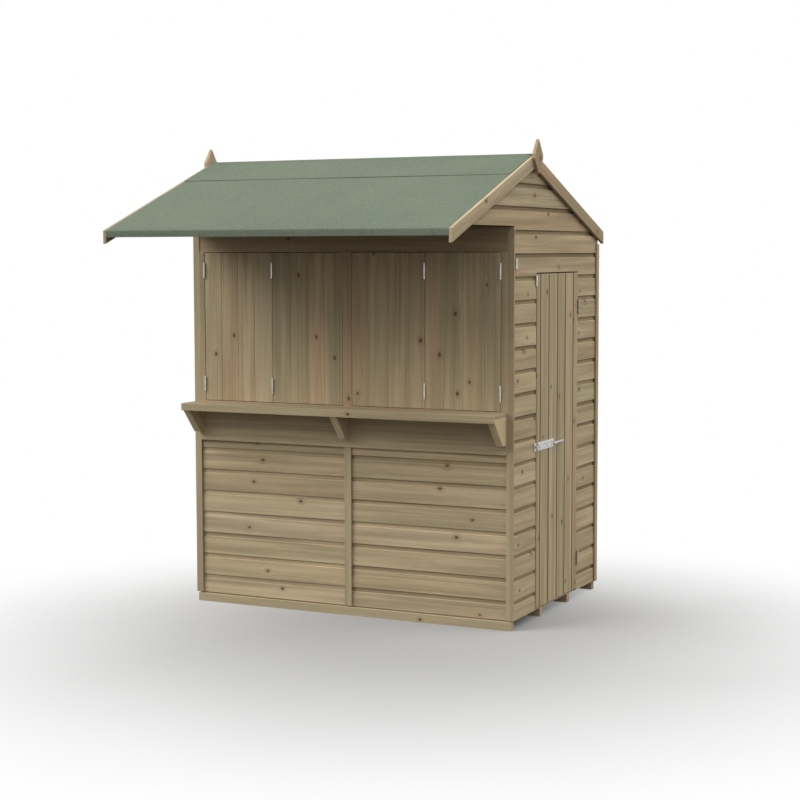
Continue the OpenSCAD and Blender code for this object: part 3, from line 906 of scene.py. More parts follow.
class GARDENBAR_OT_floor(Operator):
    """Bearers and the boarded floor"""

    bl_idname = "garden_bar.floor"
    bl_label = "Floor"

    def execute(self, context):
        low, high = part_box("floor_bearers")
        bearers = Boards("bearers", 11, 0.1)
        starts = (low.y, low.y + 0.3917, low.y + 0.7833, high.y - 0.035)
        for y, tone in zip(starts, (0.3, 0.6, 0.1, 0.5)):
            bearers.bar((low.x, y, low.z), (high.x, y + 0.035, high.z), tone)
        bearers.finish("framing_timber", "root", "framing_timber", ["floor_bearers"], 0.002)

        low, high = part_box("floor_deck")
        deck = Boards("floor_boards", 12)
        count = 16
        step = (high.x - low.x) / count
        for i in range(count):
            x = low.x + step * i
            deck.bar((x + 0.0003, low.y, low.z), (x + step - 0.0003, high.y, high.z), along=1)
        deck.finish("framing_timber", "root", "framing_timber", ["floor_deck"], 0.0012)
        return {"FINISHED"}


class GARDENBAR_OT_frames(Operator):
    """Studs and rails inside the walls"""

    bl_idname = "garden_bar.frames"
    bl_label = "Wall frames"

    def execute(self, context):
        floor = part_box("floor_deck")[1].z
        gap = 0.0005
        ends = Boards("end_frames", 21)
        low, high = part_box("end_wall_frames")
        last = high.y - STUD
        door_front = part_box("right_wall_front")[1].y
        door_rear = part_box("right_wall_rear")[0].y
        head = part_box("right_wall_head")[0].z
        left = (low.y, (low.y + last) / 2, last)
        right = (low.y, door_front - STUD, door_rear, last)
        for x, places, bay in ((low.x, left, -1), (high.x - STUD, right, 1)):
            for y in places:
                top = min(GABLE_LOW, under_roof(y + STUD))
                ends.bar((x, y, floor), (x + STUD, y + STUD, top))
            for i in range(len(places) - 1):
                a, b = places[i] + STUD + gap, places[i + 1] - gap
                heights = [head + gap, GABLE_LOW - STUD]
                if i != bay:
                    heights.append(floor)
                for z in heights:
                    ends.bar((x, a, z), (x + STUD, b, z + STUD))
        ends.finish("framing_timber", "root", "framing_timber", ["end_wall_frames"], 0.0018)

        longs = Boards("long_frames", 22)
        low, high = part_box("long_wall_frames")
        last = high.x - STUD
        rear_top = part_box("rear_wall")[1].z
        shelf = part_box("counter_shelf")[0].z
        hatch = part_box("hatch_posts")[1].z
        rear = (low.x, -last / 3 - STUD / 2, last / 3, last)
        front = (low.x, -STUD / 2, last)
        walls = (
            (high.y - STUD, rear, (floor, rear_top - STUD), rear_top),
            (low.y, front, (floor, shelf - STUD, hatch + 0.04, high.z - STUD), high.z),
        )
        for y, places, rails, top in walls:
            for x in places:
                longs.bar((x, y, floor), (x + STUD, y + STUD, top))
            for i in range(len(places) - 1):
                for z in rails:
                    longs.bar((places[i] + STUD + gap, y, z), (places[i + 1] - gap, y + STUD, z + STUD))
        longs.finish("framing_timber", "root", "framing_timber", ["long_wall_frames"], 0.0018)
        return {"FINISHED"}


class GARDENBAR_OT_walls(Operator):
    """Lapped cladding of the four walls, the gables and the ends of the canopy"""

    bl_idname = "garden_bar.walls"
    bl_label = "Lapped walls"

    def execute(self, context):
        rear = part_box("left_wall")[1].y
        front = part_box("left_wall")[0].y
        studs = (front + 0.03, front + 0.59, rear - 0.055)

        left = Boards("left_wall_boards", 31, 0.2, 0.12)
        lapped(left, on_left, CLAD_LOW, GABLE_LOW, fixed(front), fixed(rear), None, studs)
        left.finish("lapped_timber", "root", "cladding_timber", ["left_wall"])

        self.door_end(front, rear)
        self.gables(front)

        low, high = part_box("rear_wall")
        back = Boards("rear_wall_boards", 33, 0.35, 0.3)
        lapped(back, on_rear, low.z, high.z, fixed(low.x), fixed(high.x), None,
               (low.x + 0.025, -0.282, 0.296, high.x - 0.025))
        back.finish("lapped_timber", "root", "cladding_timber", ["rear_wall"])

        panels = (("front_panel_left", 34, -0.05, 0.18), ("front_panel_right", 35, -0.44, 0.34))
        tones = {
            34: (0.55, 0.44, 0.30, 0.62, 0.66, 0.85, 0.45, 0.20, 0.5),
            35: (0.70, 0.42, 0.50, 0.66, 0.30, 0.72, 0.36, 0.44, 0.5),
        }
        for node, seed, phase, groove_shade_and_depth in panels:
            low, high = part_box(node)
            panel = Boards(node + "_boards", seed, phase, 0.06)
            # The front panels get lighter painted shade and shallower steps into their rebates
            panel.groove_shade_and_depth = groove_shade_and_depth
            ends = (low.x + 0.0002, high.x - 0.0002)
            nails = (low.x + 0.045, high.x - 0.045)
            lapped(panel, on_front, low.z, high.z, fixed(ends[0]), fixed(ends[1]), tones[seed], nails)
            panel.finish("lapped_timber", "root", "cladding_timber", [node])

        low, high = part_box("front_top_boards")
        top = Boards("canopy_back_boards", 36, 0.0, 0.4)
        lapped(top, on_front, low.z, high.z, fixed(low.x), fixed(high.x))
        top.finish("lapped_timber", "root", "cladding_timber", ["front_top_boards"])
        return {"FINISHED"}

    def door_end(self, front, rear):
        """The end wall with the door: boards over the door run its whole length."""
        bay = (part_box("right_wall_front")[1].y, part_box("right_wall_rear")[0].y)
        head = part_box("right_wall_head")[0].z
        wall = Boards("door_wall_boards", 32, 0.3, 0.12)
        front_nails = (front + 0.03, bay[0] - 0.016)
        rear_nails = (bay[1] + 0.016, rear - 0.055)
        for limits in courses(CLAD_LOW, GABLE_LOW):
            bottom, top, cut_low, cut_high = limits
            grain = wall.grain((0, 1, 0), (0, 0, 1), (END_X, 0, (bottom + top) / 2))
            if cut_low < head:
                low = (bottom, top, cut_low, min(head, cut_high))
                lap_board(wall, on_right, low, fixed(front), fixed(bay[0]), grain)
                lap_board(wall, on_right, low, fixed(bay[1]), fixed(rear), grain)
                nail_course(wall, on_right, low, fixed(front), fixed(bay[0]), front_nails)
                nail_course(wall, on_right, low, fixed(bay[1]), fixed(rear), rear_nails)
            if cut_high > head:
                high = (bottom, top, max(head, cut_low), cut_high)
                lap_board(wall, on_right, high, fixed(front), fixed(rear), grain)
                nail_course(wall, on_right, high, fixed(front), fixed(rear), front_nails + rear_nails)

        def seam(edge):
            a, b = edge.verts
            level = abs(a.co.z - head) < 1e-4 and abs(b.co.z - head) < 1e-4
            low, high = min(a.co.y, b.co.y), max(a.co.y, b.co.y)
            return level and (high < bay[0] + 0.09 or low > bay[1] - 0.09)

        nodes = ["right_wall_front", "right_wall_rear", "right_wall_head"]
        wall.finish("lapped_timber", "root", "cladding_timber", nodes, None, seam)

    def gables(self, front):
        """The gables, whose boards run on over the ends of the canopy."""
        sizes = bpy.context.scene.garden_bar_sizes
        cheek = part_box("canopy_cheeks")[0].z
        gables = Boards("gable_boards", 37, 0.05, 0.25)
        tones = ((0.35, 0.15, 0.5, 0.4), (0.96, 0.60, 0.42, 0.9))
        rows = courses(GABLE_LOW, RIDGE_UNDER - 0.003)
        for wall, shades in ((on_left, tones[0]), (on_right, tones[1])):
            for limits, tone in zip(rows, shades):
                bottom, top, cut_low, cut_high = limits
                middle = wall(0.0, 0.0, (bottom + min(top, bottom + sizes.course)) / 2)
                grain = gables.grain((0, 1, 0), (0, 0, 1), middle, tone)
                parts = [limits]
                if cut_low < cheek:
                    low = (bottom, top, cut_low, cheek)
                    lap_board(gables, wall, low, fixed(front), gable_reach, grain)
                    parts = [(bottom, top, cheek, cut_high)]
                for part in parts:
                    lap_board(gables, wall, part, lambda z: -gable_reach(z), gable_reach, grain)
                nail_course(gables, wall, (bottom, top, max(cut_low, cheek), cut_high),
                            lambda z: -gable_reach(z), gable_reach, (-0.86, -0.19, 0.03, 0.62))

        def seam(edge):
            a, b = edge.verts
            return abs(a.co.z - cheek) < 1e-4 and abs(b.co.z - cheek) < 1e-4

        nodes = ["left_gable", "right_gable", "canopy_cheeks"]
        gables.finish("gable_timber", "root", "cladding_timber", nodes, None, seam)


class GARDENBAR_OT_trims(Operator):
    """Corner trims, the strip between the front panels and the timbers round the hatch"""

    bl_idname = "garden_bar.trims"
    bl_label = "Trims and hatch timbers"

    def execute(self, context):
        low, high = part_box("wall_trims")
        trims = Boards("corner_trims", 41, 0.25, 0.5)
        wide = 0.038
        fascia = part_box("counter_fascia")[0].z
        trims.bar((-wide / 2, FRONT_Y, low.z), (wide / 2, CLAD_Y, fascia), 0.22, bend=0.0006)
        rear_top = under_roof(REAR_Y) - BARGE_DROP
        for side, tones in ((-1, (0.30, 0.52)), (1, (0.44, 0.50))):
            x0, x1 = sorted((side * END_X, side * (END_X - wide)))
            trims.bar((x0, FRONT_Y, low.z), (x1, CLAD_Y, high.z), tones[0], bend=0.0005)
            x0, x1 = sorted((side * END_X, side * high.x))
            trims.bar((x0, REAR_Y - wide, low.z), (x1, REAR_Y, rear_top), tones[1], bend=0.0004)
        trims.finish("planed_timber", "root", "planed_timber", ["wall_trims"], 0.0014)

        low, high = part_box("hatch_posts")
        posts = Boards("hatch_post_timbers", 42, 0.1, 0.5)
        for x0, x1, tone in ((low.x, low.x + 0.03, 0.25), (high.x - 0.03, high.x, 0.5),
                             (-0.0255, 0.0255, 0.95)):
            posts.bar((x0, low.y, low.z), (x1, high.y, high.z), tone, bend=0.0003)
        posts.finish("planed_timber", "root", "planed_timber", ["hatch_posts"], 0.0016)

        lone_timber("hatch_sill_timber", "hatch_sill", 43, 0.4, 0.9, 0.0003, 0.0018)
        lone_timber("hatch_head_timber", "hatch_head_board", 44, 0.4, 0.93, 0.0003, 0.0018)
        return {"FINISHED"}


class GARDENBAR_OT_counter(Operator):
    """Counter shelf, its front strip, its brackets and the board behind them"""

    bl_idname = "garden_bar.counter"
    bl_label = "Counter"

    def execute(self, context):
        low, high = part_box("counter_shelf")
        shelf = Boards("counter_top", 51, 0.2)
        join = (low.y + high.y) / 2
        shelf.bar(low, (high.x, join - 0.0002, high.z), 0.4, bend=0.0003)
        shelf.bar((low.x, join + 0.0002, low.z), high, 0.7, bend=0.0003)
        shelf.finish("planed_timber", "root", "planed_timber", ["counter_shelf"], 0.001)

        lone_timber("counter_lip", "counter_edge_strip", 52, 0.33, 0.28, 0.0004, 0.0022)
        lone_timber("counter_fascia_board", "counter_fascia", 53, 0.15, 0.05, 0.0004, 0.0022)

        low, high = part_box("counter_brackets")
        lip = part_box("counter_edge_strip")[0].z
        foot = FRONT_Y - 0.044
        outline = [(high.y, low.z), (high.y, high.z), (low.y, high.z), (low.y, lip), (foot, low.z)]
        brackets = Boards("counter_gussets", 54, 0.0, 0.5)
        # Painted shade on the brackets' sides, which are the end faces of each loft
        brackets.end_painted_shade = 0.45
        wide = 0.038
        middle = (low.x + high.x) / 2
        for x, tone in ((low.x, 0.62), (middle - wide / 2, 0.6), (high.x - wide, 0.66)):
            brackets.prism(x, x + wide, outline, (0, 0.75, -1.0), (1, 0, 0), tone)
        # Painted light: the brackets' timber is drawn half again as bright, for their sloping fronts
        brackets.finish("painted_light_timber", "root", "planed_timber", ["counter_brackets"], 0.0022)
        return {"FINISHED"}


class GARDENBAR_OT_shutters(Operator):
    """The four shutters of the hatch, folded shut, and their hinges"""

    bl_idname = "garden_bar.shutters"
    bl_label = "Shutters"

    def execute(self, context):
        sizes = context.scene.garden_bar_sizes
        leaves = (
            ("left_outer", 61, (0.28, 0.97, 0.42, 0.60)),
            ("left_inner", 62, (0.20, 0.30, 0.94, 0.35)),
            ("right_inner", 63, (0.93, 0.24, 0.40, 0.50)),
            ("right_outer", 64, (0.90, 0.22, 0.45, 0.26)),
        )
        for place, seed, tones in leaves:
            node = "shutter_" + place
            low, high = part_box(node)
            back = low.y + LEAF_T
            leaf = Boards(place + "_shutter", seed, 0.0, 0.6)
            # Painted shade in the V grooves between the shutter boards
            leaf.groove_shade_and_depth = 0.8
            usual = (high.x - low.x) / sizes.shutter_boards
            x = low.x
            for i in range(sizes.shutter_boards):
                last = i == sizes.shutter_boards - 1
                end = high.x if last else low.x + usual * (i + 1) + leaf.dice.uniform(-0.006, 0.006)
                gap = 0.0 if last else 0.0005
                vees = (0.002 if i else 0.0, 0.0 if last else 0.002)
                leaf.plank((x, low.y, low.z), (end - gap, back, high.z), (0, -1, 0), vees,
                           tones[i % len(tones)])
                x = end
            for z in (low.z + 0.08, high.z - 0.08 - 0.06):
                leaf.bar((low.x + 0.032, back, z), (high.x - 0.032, high.y, z + 0.06))
                for i in range(sizes.shutter_boards):
                    for rise in (0.02, 0.042):
                        u = low.x + usual * (i + 0.5) + leaf.dice.uniform(-0.02, 0.02)
                        leaf.nail((u, low.y, z + rise), (0, -1, 0))
            leaf.finish("leaf_timber", "root", "cladding_timber", [node], 0.0015)

        low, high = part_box("shutter_hinges")
        outer = high.x - 0.0045
        inner = (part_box("shutter_right_inner")[1].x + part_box("shutter_right_outer")[0].x) / 2
        hinges = Fitting("shutter_butts")
        y = low.y + 0.0045
        flap = [(-0.0175, 0.0), (0.0, 0.0), (0.0, 0.08), (-0.0175, 0.08)]
        pin_end = [(0.0028, -0.001), (0.0028, 0.0004), (0.0015, 0.0011)]
        for x in (-outer, -inner, inner, outer):
            for z in (low.z + 0.04, high.z - 0.04):
                hinges.barrel((x, y, z), (0, 0, 1), 0.0045, 0.08, 5)
                for side in (-1, 1):
                    corner = (x + side * 0.0004 - 0.0004, y, z - 0.04)
                    hinges.cut_out(flap, corner, (0, -1, 0), (0, 0, 1), -0.0008, 0.0)
                for end, way in ((z - 0.04, -1), (z + 0.04, 1)):
                    hinges.turned((x, y, end), (0, 0, way), pin_end, 14)
        hinges.finish("bright_zinc", "root", "galvanised_steel", ["shutter_hinges"])
        return {"FINISHED"}


class GARDENBAR_OT_door(Operator):
    """The ledged and braced door with its hinges"""

    bl_idname = "garden_bar.door"
    bl_label = "Door"

    def execute(self, context):
        low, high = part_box("door_leaf")
        inner = high.x - LEAF_T
        door = Boards("door_boards", 71, 0.3, 0.5)
        # Painted shade at full strength in the door's V grooves
        door.groove_shade_and_depth = 1.0
        joints = [low.y] + [low.y + s for s in (0.049, 0.167, 0.289, 0.403, 0.521)] + [high.y]
        tones = (0.68, 0.40, 0.62, 0.30, 0.55, 0.90)
        ledges = (low.z + 0.13, (low.z + high.z) / 2 - 0.03, high.z - 0.19)
        for a, b, tone in zip(joints, joints[1:], tones):
            gap = 0.0 if b == high.y else 0.0008
            vees = (0.0 if a == low.y else 0.0095, 0.0 if b == high.y else 0.006)
            door.plank((inner, a, low.z), (high.x, b - gap, high.z), (1, 0, 0), vees, tone)
            for z in ledges:
                for rise in (0.018, 0.043):
                    y = (a + b) / 2 + door.dice.uniform(-0.012, 0.012)
                    door.nail((high.x, y, z + rise), (1, 0, 0))
        front, rear = low.y + 0.03, high.y - 0.03
        for z in ledges:
            door.bar((low.x, front, z), (inner, rear, z + 0.06))
        for i in (0, 1):
            z0, z1 = ledges[i] + 0.06, ledges[i + 1]
            outline = [(rear - 0.06, z0), (rear, z0), (front + 0.06, z1), (front, z1)]
            run = (0, front - rear + 0.06, z1 - z0)
            door.prism(low.x, inner, outline, run, (0, 1, 0))
        door.finish("leaf_timber", "door", "cladding_timber", ["door_leaf"], 0.0011)

        self.hinges()
        return {"FINISHED"}

    def hinges(self):
        low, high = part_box("door_hinge_leaves")
        axis = high.x - 0.005
        hinge_y = high.y - 0.005
        long, third = 0.08, 0.08 / 3
        plates = (
            ("door_hinge_flaps", "door", "door_hinge_leaves", -1),
            ("wall_hinge_flaps", "root", "door_hinge_plates", 1),
        )
        pin_end = [(0.0026, -0.002), (0.0026, 0.0002), (0.0012, 0.0008)]
        heights = (low.z + long / 2, high.z - long / 2)
        for name, body, node, side in plates:
            flap = Fitting(name)
            near, far = 0.006 * side, 0.027 * side
            for z in heights:
                centre = (low.x, hinge_y + (near + far) / 2, z)
                flap.cut_out(rounded(0.021, long, 0.002), centre, (0, 1, 0), (0, 0, 1), 0.0015)
                for rise in (-0.028, 0.0, 0.028):
                    y = hinge_y + 0.018 * side + 0.003 * (rise == 0)
                    flap.screw((low.x + 0.0015, y, z + rise), (1, 0, 0), 0.0036, 0.5 + rise * 30)
                spans = [(-third / 2, third / 2)]
                if side > 0:
                    spans = [(-long / 2, -third / 2), (third / 2, long / 2)]
                for a, b in spans:
                    a, b = a + 0.0006, b - 0.0006
                    middle = z + (a + b) / 2
                    flap.turned((axis, hinge_y, middle), (0, 0, 1), [
                        (0.0042, a - middle + z), (0.005, a - middle + z + 0.0008),
                        (0.005, b - middle + z - 0.0008), (0.0042, b - middle + z)], 24)
                    u0, u1 = sorted((0.0, side * 0.0075))
                    tongue = [(u0, a), (u1, a), (u1, b), (u0, b)]
                    flap.cut_out(tongue, (low.x, hinge_y, z), (0, 1, 0), (0, 0, 1), 0.0015, 0.0002)
                if side > 0:
                    for end, way in ((z - long / 2, -1), (z + long / 2, 1)):
                        flap.turned((axis, hinge_y, end), (0, 0, way), pin_end, 14)
            flap.finish("dark_tan_zinc", body, "galvanised_steel", [node])


class GARDENBAR_OT_fastenings(Operator):
    """Pad bolt with its keep, and the three turn buttons"""

    bl_idname = "garden_bar.fastenings"
    bl_label = "Fastenings"

    def execute(self, context):
        low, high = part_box("pad_bolt_rod")
        z = (low.z + high.z) / 2
        x = low.x + 0.005
        rod = Fitting("bolt_rod")
        rod.turned((x, low.y, z), (0, 1, 0), [
            (0.0034, 0.0), (0.0048, 0.0016), (0.005, 0.003),
            (0.005, high.y - low.y - 0.002), (0.0042, high.y - low.y)], 24)
        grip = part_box("pad_bolt_body")[1].y - 0.012 - 0.020
        rod.turned((x, grip, z), (1, 0, 0), [
            (0.004, 0.0), (0.004, 0.018), (0.0034, 0.0195),
            (0.004, 0.0215), (0.004, 0.0245), (0.003, 0.026)], 20)
        rod.finish("bright_zinc", "bolt", "galvanised_steel", ["pad_bolt_rod"])

        low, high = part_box("pad_bolt_body")
        body = Fitting("bolt_plate")
        plate = 0.002
        centre = (low.x, (low.y + high.y) / 2, z)
        body.cut_out(rounded(high.y - low.y, high.z - low.z, 0.003), centre, (0, 1, 0), (0, 0, 1), plate)
        for y in (low.y, (low.y + high.y) / 2 - 0.006, high.y - 0.012):
            self.strap(body, low.x + plate, x, y, z, 0.012, 0.0052, 0.002)
        for y in (low.y + 0.03, low.y + 0.086, high.y - 0.086, high.y - 0.03):
            for rise in (-0.0145, 0.0145):
                body.screw((low.x + plate, y, z + rise), (1, 0, 0), 0.0036, y * 40)
        body.finish("bright_zinc", "door", "galvanised_steel", ["pad_bolt_body"])

        fixed_parts = Fitting("keep_and_pivots")
        low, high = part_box("wall_fastenings")
        keep_y = high.y - 0.012
        fixed_parts.cut_out(rounded(0.024, 0.042, 0.003), (END_X, keep_y, z), (0, 1, 0), (0, 0, 1), plate)
        self.strap(fixed_parts, END_X + plate, x, keep_y - 0.006, z, 0.012, 0.0062, 0.002)
        # A dark disc of painted shade stands for the keep's hole
        fixed_parts.turned((END_X + plate, keep_y, z), (1, 0, 0), [(0.0055, 0.0), (0.0055, 0.0003)], 18, 1)
        for rise in (-0.0155, 0.0155):
            fixed_parts.screw((END_X + plate, keep_y, z + rise), (1, 0, 0), 0.0033, 0.8)
        for node in ("door_turn_button", "right_turn_button", "left_turn_button"):
            self.pivot(fixed_parts, node)
        fixed_parts.finish("bright_zinc", "root", "galvanised_steel", ["wall_fastenings"])

        for node, body_name in (("door_turn_button", "door_button"), ("right_turn_button", "right_button"),
                                ("left_turn_button", "left_button")):
            self.button(node, body_name)
        return {"FINISHED"}

    def strap(self, fitting, base, x, y, z, wide, bore, thick):
        """A bent strap over the rod, with its two feet on the plate."""
        inner, outer = bore, bore + thick
        steps = 10
        curve = [math.pi * i / steps for i in range(steps + 1)]
        ring_out = [(x - base + outer * math.sin(t), -outer * math.cos(t)) for t in curve]
        ring_in = [(x - base + inner * math.sin(t), -inner * math.cos(t)) for t in reversed(curve)]
        outline = [(0.0, -outer)] + ring_out + [(0.0, outer), (0.0, inner)] + ring_in + [(0.0, -inner)]
        fitting.cut_out(outline, (base, y + wide, z), (1, 0, 0), (0, 0, 1), wide, 0.0003)

    def pivot(self, fitting, node):
        low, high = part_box(node)
        way = 1 if low.x > 0 else -1
        y, z = (low.y + high.y) / 2, (low.z + high.z) / 2
        face = max(abs(low.x), abs(high.x)) * way
        base = abs(face) - END_X
        foot = (way * END_X, y, z)
        fitting.turned(foot, (way, 0, 0), [(0.003, 0.0), (0.003, base + 0.0002)], 16)
        fitting.turned(foot, (way, 0, 0), [
            (0.006, base + 0.0002), (0.006, base + 0.0008), (0.0048, base + 0.0016),
            (0.0026, base + 0.0021)], 20)
        # The slot is a thin dark sheet of painted shade
        long, thin = 0.0045, 0.0006 * way
        slot = [(-long, -thin), (long, -thin), (long, thin), (-long, thin)]
        top = (way * (END_X + base + 0.0013), y, z)
        fitting.cut_out(slot, top, (0, 0.6, 0.8), (0, -0.8, 0.6), 0.0009 * way, 0.0, 1)

    def button(self, node, body_name):
        """A turn button with rounded ends."""
        low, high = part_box(node)
        way = 1 if low.x > 0 else -1
        y, z = (low.y + high.y) / 2, (low.z + high.z) / 2
        wide, tall = high.y - low.y, high.z - low.z
        bar = Fitting(node.replace("_turn_button", "_button_bar"))
        start = low.x if way > 0 else high.x
        outline = rounded(wide, tall, wide / 2 - 0.0001, 6)
        bar.cut_out(outline, (start, y, z), (0, way, 0), (0, 0, 1), high.x - low.x, 0.0009)
        bar.finish("bright_zinc", body_name, "galvanised_steel", [node])


class GARDENBAR_OT_roof(Operator):
    """Ridge beam, purlins, eaves rails and the roof boards"""

    bl_idname = "garden_bar.roof"
    bl_label = "Roof timbers"

    def execute(self, context):
        beams = Boards("roof_timbers", 81)
        half = STUD / 2
        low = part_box("roof_beams")[0].z
        seat = 0.0003
        ridge = [(-half, RIDGE_UNDER - 0.07), (half, RIDGE_UNDER - 0.07), (half, under_roof(half) - seat),
                 (0.0, RIDGE_UNDER - seat), (-half, under_roof(half) - seat)]
        beams.prism(-FRAME_X, FRAME_X, ridge, (1, 0, 0), (0, 0, 1))
        for y in (-(EAVE_Y - FRONT_Y) / 2, REAR_Y / 2):
            bottom = under_roof(abs(y) + STUD) - STUD
            outline = [(y, bottom), (y + STUD, bottom), (y + STUD, under_roof(y + STUD) - seat),
                       (y, under_roof(y) - seat)]
            beams.prism(-FRAME_X, FRAME_X, outline, (1, 0, 0), (0, 1, 0))
        for y0, y1 in ((-EAVE_Y, -REAR_Y), (REAR_Y, EAVE_Y)):
            outline = [(y0, low), (y1, low), (y1, under_roof(y1) - seat), (y0, under_roof(y0) - seat)]
            beams.prism(-END_X, END_X, outline, (1, 0, 0), (0, 0, 1))
        beams.finish("framing_timber", "root", "framing_timber", ["roof_beams"], 0.0016)

        for side, name, seed in ((-1, "front", 82), (1, "rear", 83)):
            deck = Boards(name + "_roof_boards", seed)
            count = 9
            for i in range(count):
                a = EAVE_Y * i / count + 0.0003
                b = EAVE_Y * (i + 1) / count - 0.0003
                outline = [(side * a, under_roof(a)), (side * b, under_roof(b)),
                           (side * b, under_roof(b) + DECK_RISE), (side * a, under_roof(a) + DECK_RISE)]
                deck.prism(-DECK_X, DECK_X, outline, (1, 0, 0), (0, 1, -side * SLOPE))
            deck.finish("roof_timber", "root", "roof_boards", ["roof_deck_" + name], 0.001)
        return {"FINISHED"}


class GARDENBAR_OT_felt(Operator):
    """Roofing felt on both slopes and the strip over the ridge"""

    bl_idname = "garden_bar.felt"
    bl_label = "Roofing felt"

    def execute(self, context):
        for side, name in ((-1, "front"), (1, "rear")):
            line = []
            for i in range(31):
                y = FELT_Y * i / 30
                line.append((side * y, under_roof(y) + FELT_RISE, 1.0))
            corner = line.pop()
            edge_z = corner[1]
            line.append((side * (FELT_Y - 0.004), under_roof(FELT_Y - 0.004) + FELT_RISE - 0.0001, 0.4))
            line.append((side * (FELT_Y - 0.001), edge_z - 0.0006, 0.2))
            line.append((side * FELT_Y, edge_z - 0.0035, 0.2))
            for i in range(1, 5):
                line.append((side * FELT_Y, edge_z - 0.0035 - (edge_z - 0.0035 - DRIP_Z) * i / 4, 0.8))
            self.sheet(name + "_felt", line, 0.003, side * 7.0, ["felt_" + name], side)
        line = []
        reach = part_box("felt_ridge")[1].y
        for i in range(-16, 17):
            y = reach * i / 16
            fall = abs(y) * SLOPE
            if abs(y) < 0.02:
                fall = 0.0012
            line.append((y, RIDGE_UNDER + STRIP_RISE - fall, 0.7))
        self.sheet("ridge_felt", line, 0.003, 3.0, ["felt_ridge"], 0)
        return {"FINISHED"}

    def sheet(self, name, line, thick, seed, nodes, side):
        """A sheet laid along a line of (y, z, freedom) points, rippled a little."""
        sizes = bpy.context.scene.garden_bar_sizes
        bm = bmesh.new()
        count = 60
        rows = []
        for step in range(count + 1):
            x = -DECK_X + 2 * DECK_X * step / count
            outer, inner = [], []
            for i, (y, z, free) in enumerate(line):
                before = line[max(0, i - 1)]
                after = line[min(len(line) - 1, i + 1)]
                run = Vector((0, after[0] - before[0], after[1] - before[1])).normalized()
                out = Vector((1, 0, 0)).cross(run)
                if side < 0:
                    out = -out
                swell = noise.noise((x * 2.3, y * 2.1 + z, seed))
                swell += 0.5 * noise.noise((x * 7.0, y * 5.0, seed))
                lift = sizes.felt_ripple * free * (0.4 + swell)
                place = Vector((x, y, z))
                outer.append(place + out * max(0.0, lift))
                inner.append(place - out * thick)
            ring = outer + list(reversed(inner))
            rows.append([bm.verts.new(point) for point in ring])
        total = len(rows[0])
        for near, far in zip(rows, rows[1:]):
            for i in range(total):
                j = (i + 1) % total
                bm.faces.new((near[i], near[j], far[j], far[i]))
        bm.faces.new(tuple(reversed(rows[0])))
        bm.faces.new(rows[-1])
        bmesh.ops.triangulate(bm, faces=[f for f in bm.faces if len(f.verts) > 4])
        bmesh.ops.recalc_face_normals(bm, faces=bm.faces[:])
        self.clouts(bm, line, side)
        piece = made_piece(name, bm, ("mineral_felt", "nail_head"), 0.8)
        hand_over(piece, "root", nodes)

    def clouts(self, bm, line, side):
        """Broad-headed nails along the folded edge or the strip's two edges."""
        spots = []
        count = 12
        for i in range(count):
            x = -DECK_X + 2 * DECK_X * (i + 0.5) / count
            if side:
                place = Vector((x, side * (FELT_Y + 0.0002), DRIP_Z + 0.014))
                spots.append((place, Vector((0, side, 0))))
            else:
                for way in (-1, 1):
                    y, z = (line[1] if way < 0 else line[-2])[:2]
                    out = Vector((0, way * SLOPE, 1)).normalized()
                    spots.append((Vector((x, y, z)) + out * 0.0003, out))
        head = ((0.0036, -0.001), (0.0036, 0.0008), (0.0026, 0.0014))
        for place, normal in spots:
            turned_rings(bm, place, normal, head, 12, 1)


class GARDENBAR_OT_verges(Operator):
    """Barge boards on the gables and the diamond finials"""

    bl_idname = "garden_bar.verges"
    bl_label = "Barge boards and finials"

    def execute(self, context):
        low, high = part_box("barge_boards")
        barges = Boards("verge_boards", 91, 0.3, 0.6)
        thick = 0.016
        ends = ((low.x, low.x + thick, (0.5, 0.3)), (high.x - thick, high.x, (0.66, 0.97)))
        for x0, x1, tones in ends:
            for side, tone in zip((-1, 1), tones):
                y0, y1 = side * 0.00025, side * high.y
                top0 = RIDGE_UNDER + FELT_RISE
                top1 = under_roof(y1) + FELT_RISE
                run = (0, side, -SLOPE)
                middle = ((x0 + x1) / 2, y1 / 2, (top0 + top1) / 2 - BARGE_DROP / 2)
                grain = barges.grain(run, (0, side * SLOPE, 1), middle, tone)
                rings = []
                for step in range(9):
                    y = y0 + (y1 - y0) * step / 8
                    top = under_roof(y) + FELT_RISE
                    sway = 0.0006 * noise.noise((y * 2.2, side * 3.0, x0 * 5.0)) if 0 < step < 8 else 0.0
                    ring = ((x0, top), (x1, top), (x1, top - BARGE_DROP), (x0, top - BARGE_DROP))
                    rings.append([Vector((x, y, z + sway)) for x, z in ring])
                barges.loft(rings, grain)
                for share in (0.12, 0.5, 0.9):
                    y = y1 * share
                    z = under_roof(y) + FELT_RISE - BARGE_DROP / 2
                    face = x1 if x1 > 0 else x0
                    for rise in (-0.015, 0.015):
                        barges.nail((face, y, z + rise), (1 if x1 > 0 else -1, 0, 0))
        barges.finish("planed_timber", "root", "planed_timber", ["barge_boards"], 0.0013)

        low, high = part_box("finials")
        diamonds = Boards("diamond_finials", 92, 0.1, 0.6)
        middle = (low.z + high.z) / 2
        half, blunt = high.y, 0.01075
        outline = [(0.0, low.z), (half, middle - blunt), (half, middle + blunt),
                   (0.0, high.z), (-half, middle + blunt), (-half, middle - blunt)]
        for x0, tone in ((low.x, 0.5), (high.x - thick, 0.97)):
            diamonds.prism(x0, x0 + thick, outline, (0, 0, 1), (0, 1, 0), tone)
            face = x0 + thick if x0 > 0 else x0
            for z in (middle + 0.012, middle - 0.02):
                diamonds.nail((face, 0.004, z), (1 if x0 > 0 else -1, 0, 0))
        diamonds.finish("planed_timber", "root", "planed_timber", ["finials"], 0.0018)
        return {"FINISHED"}


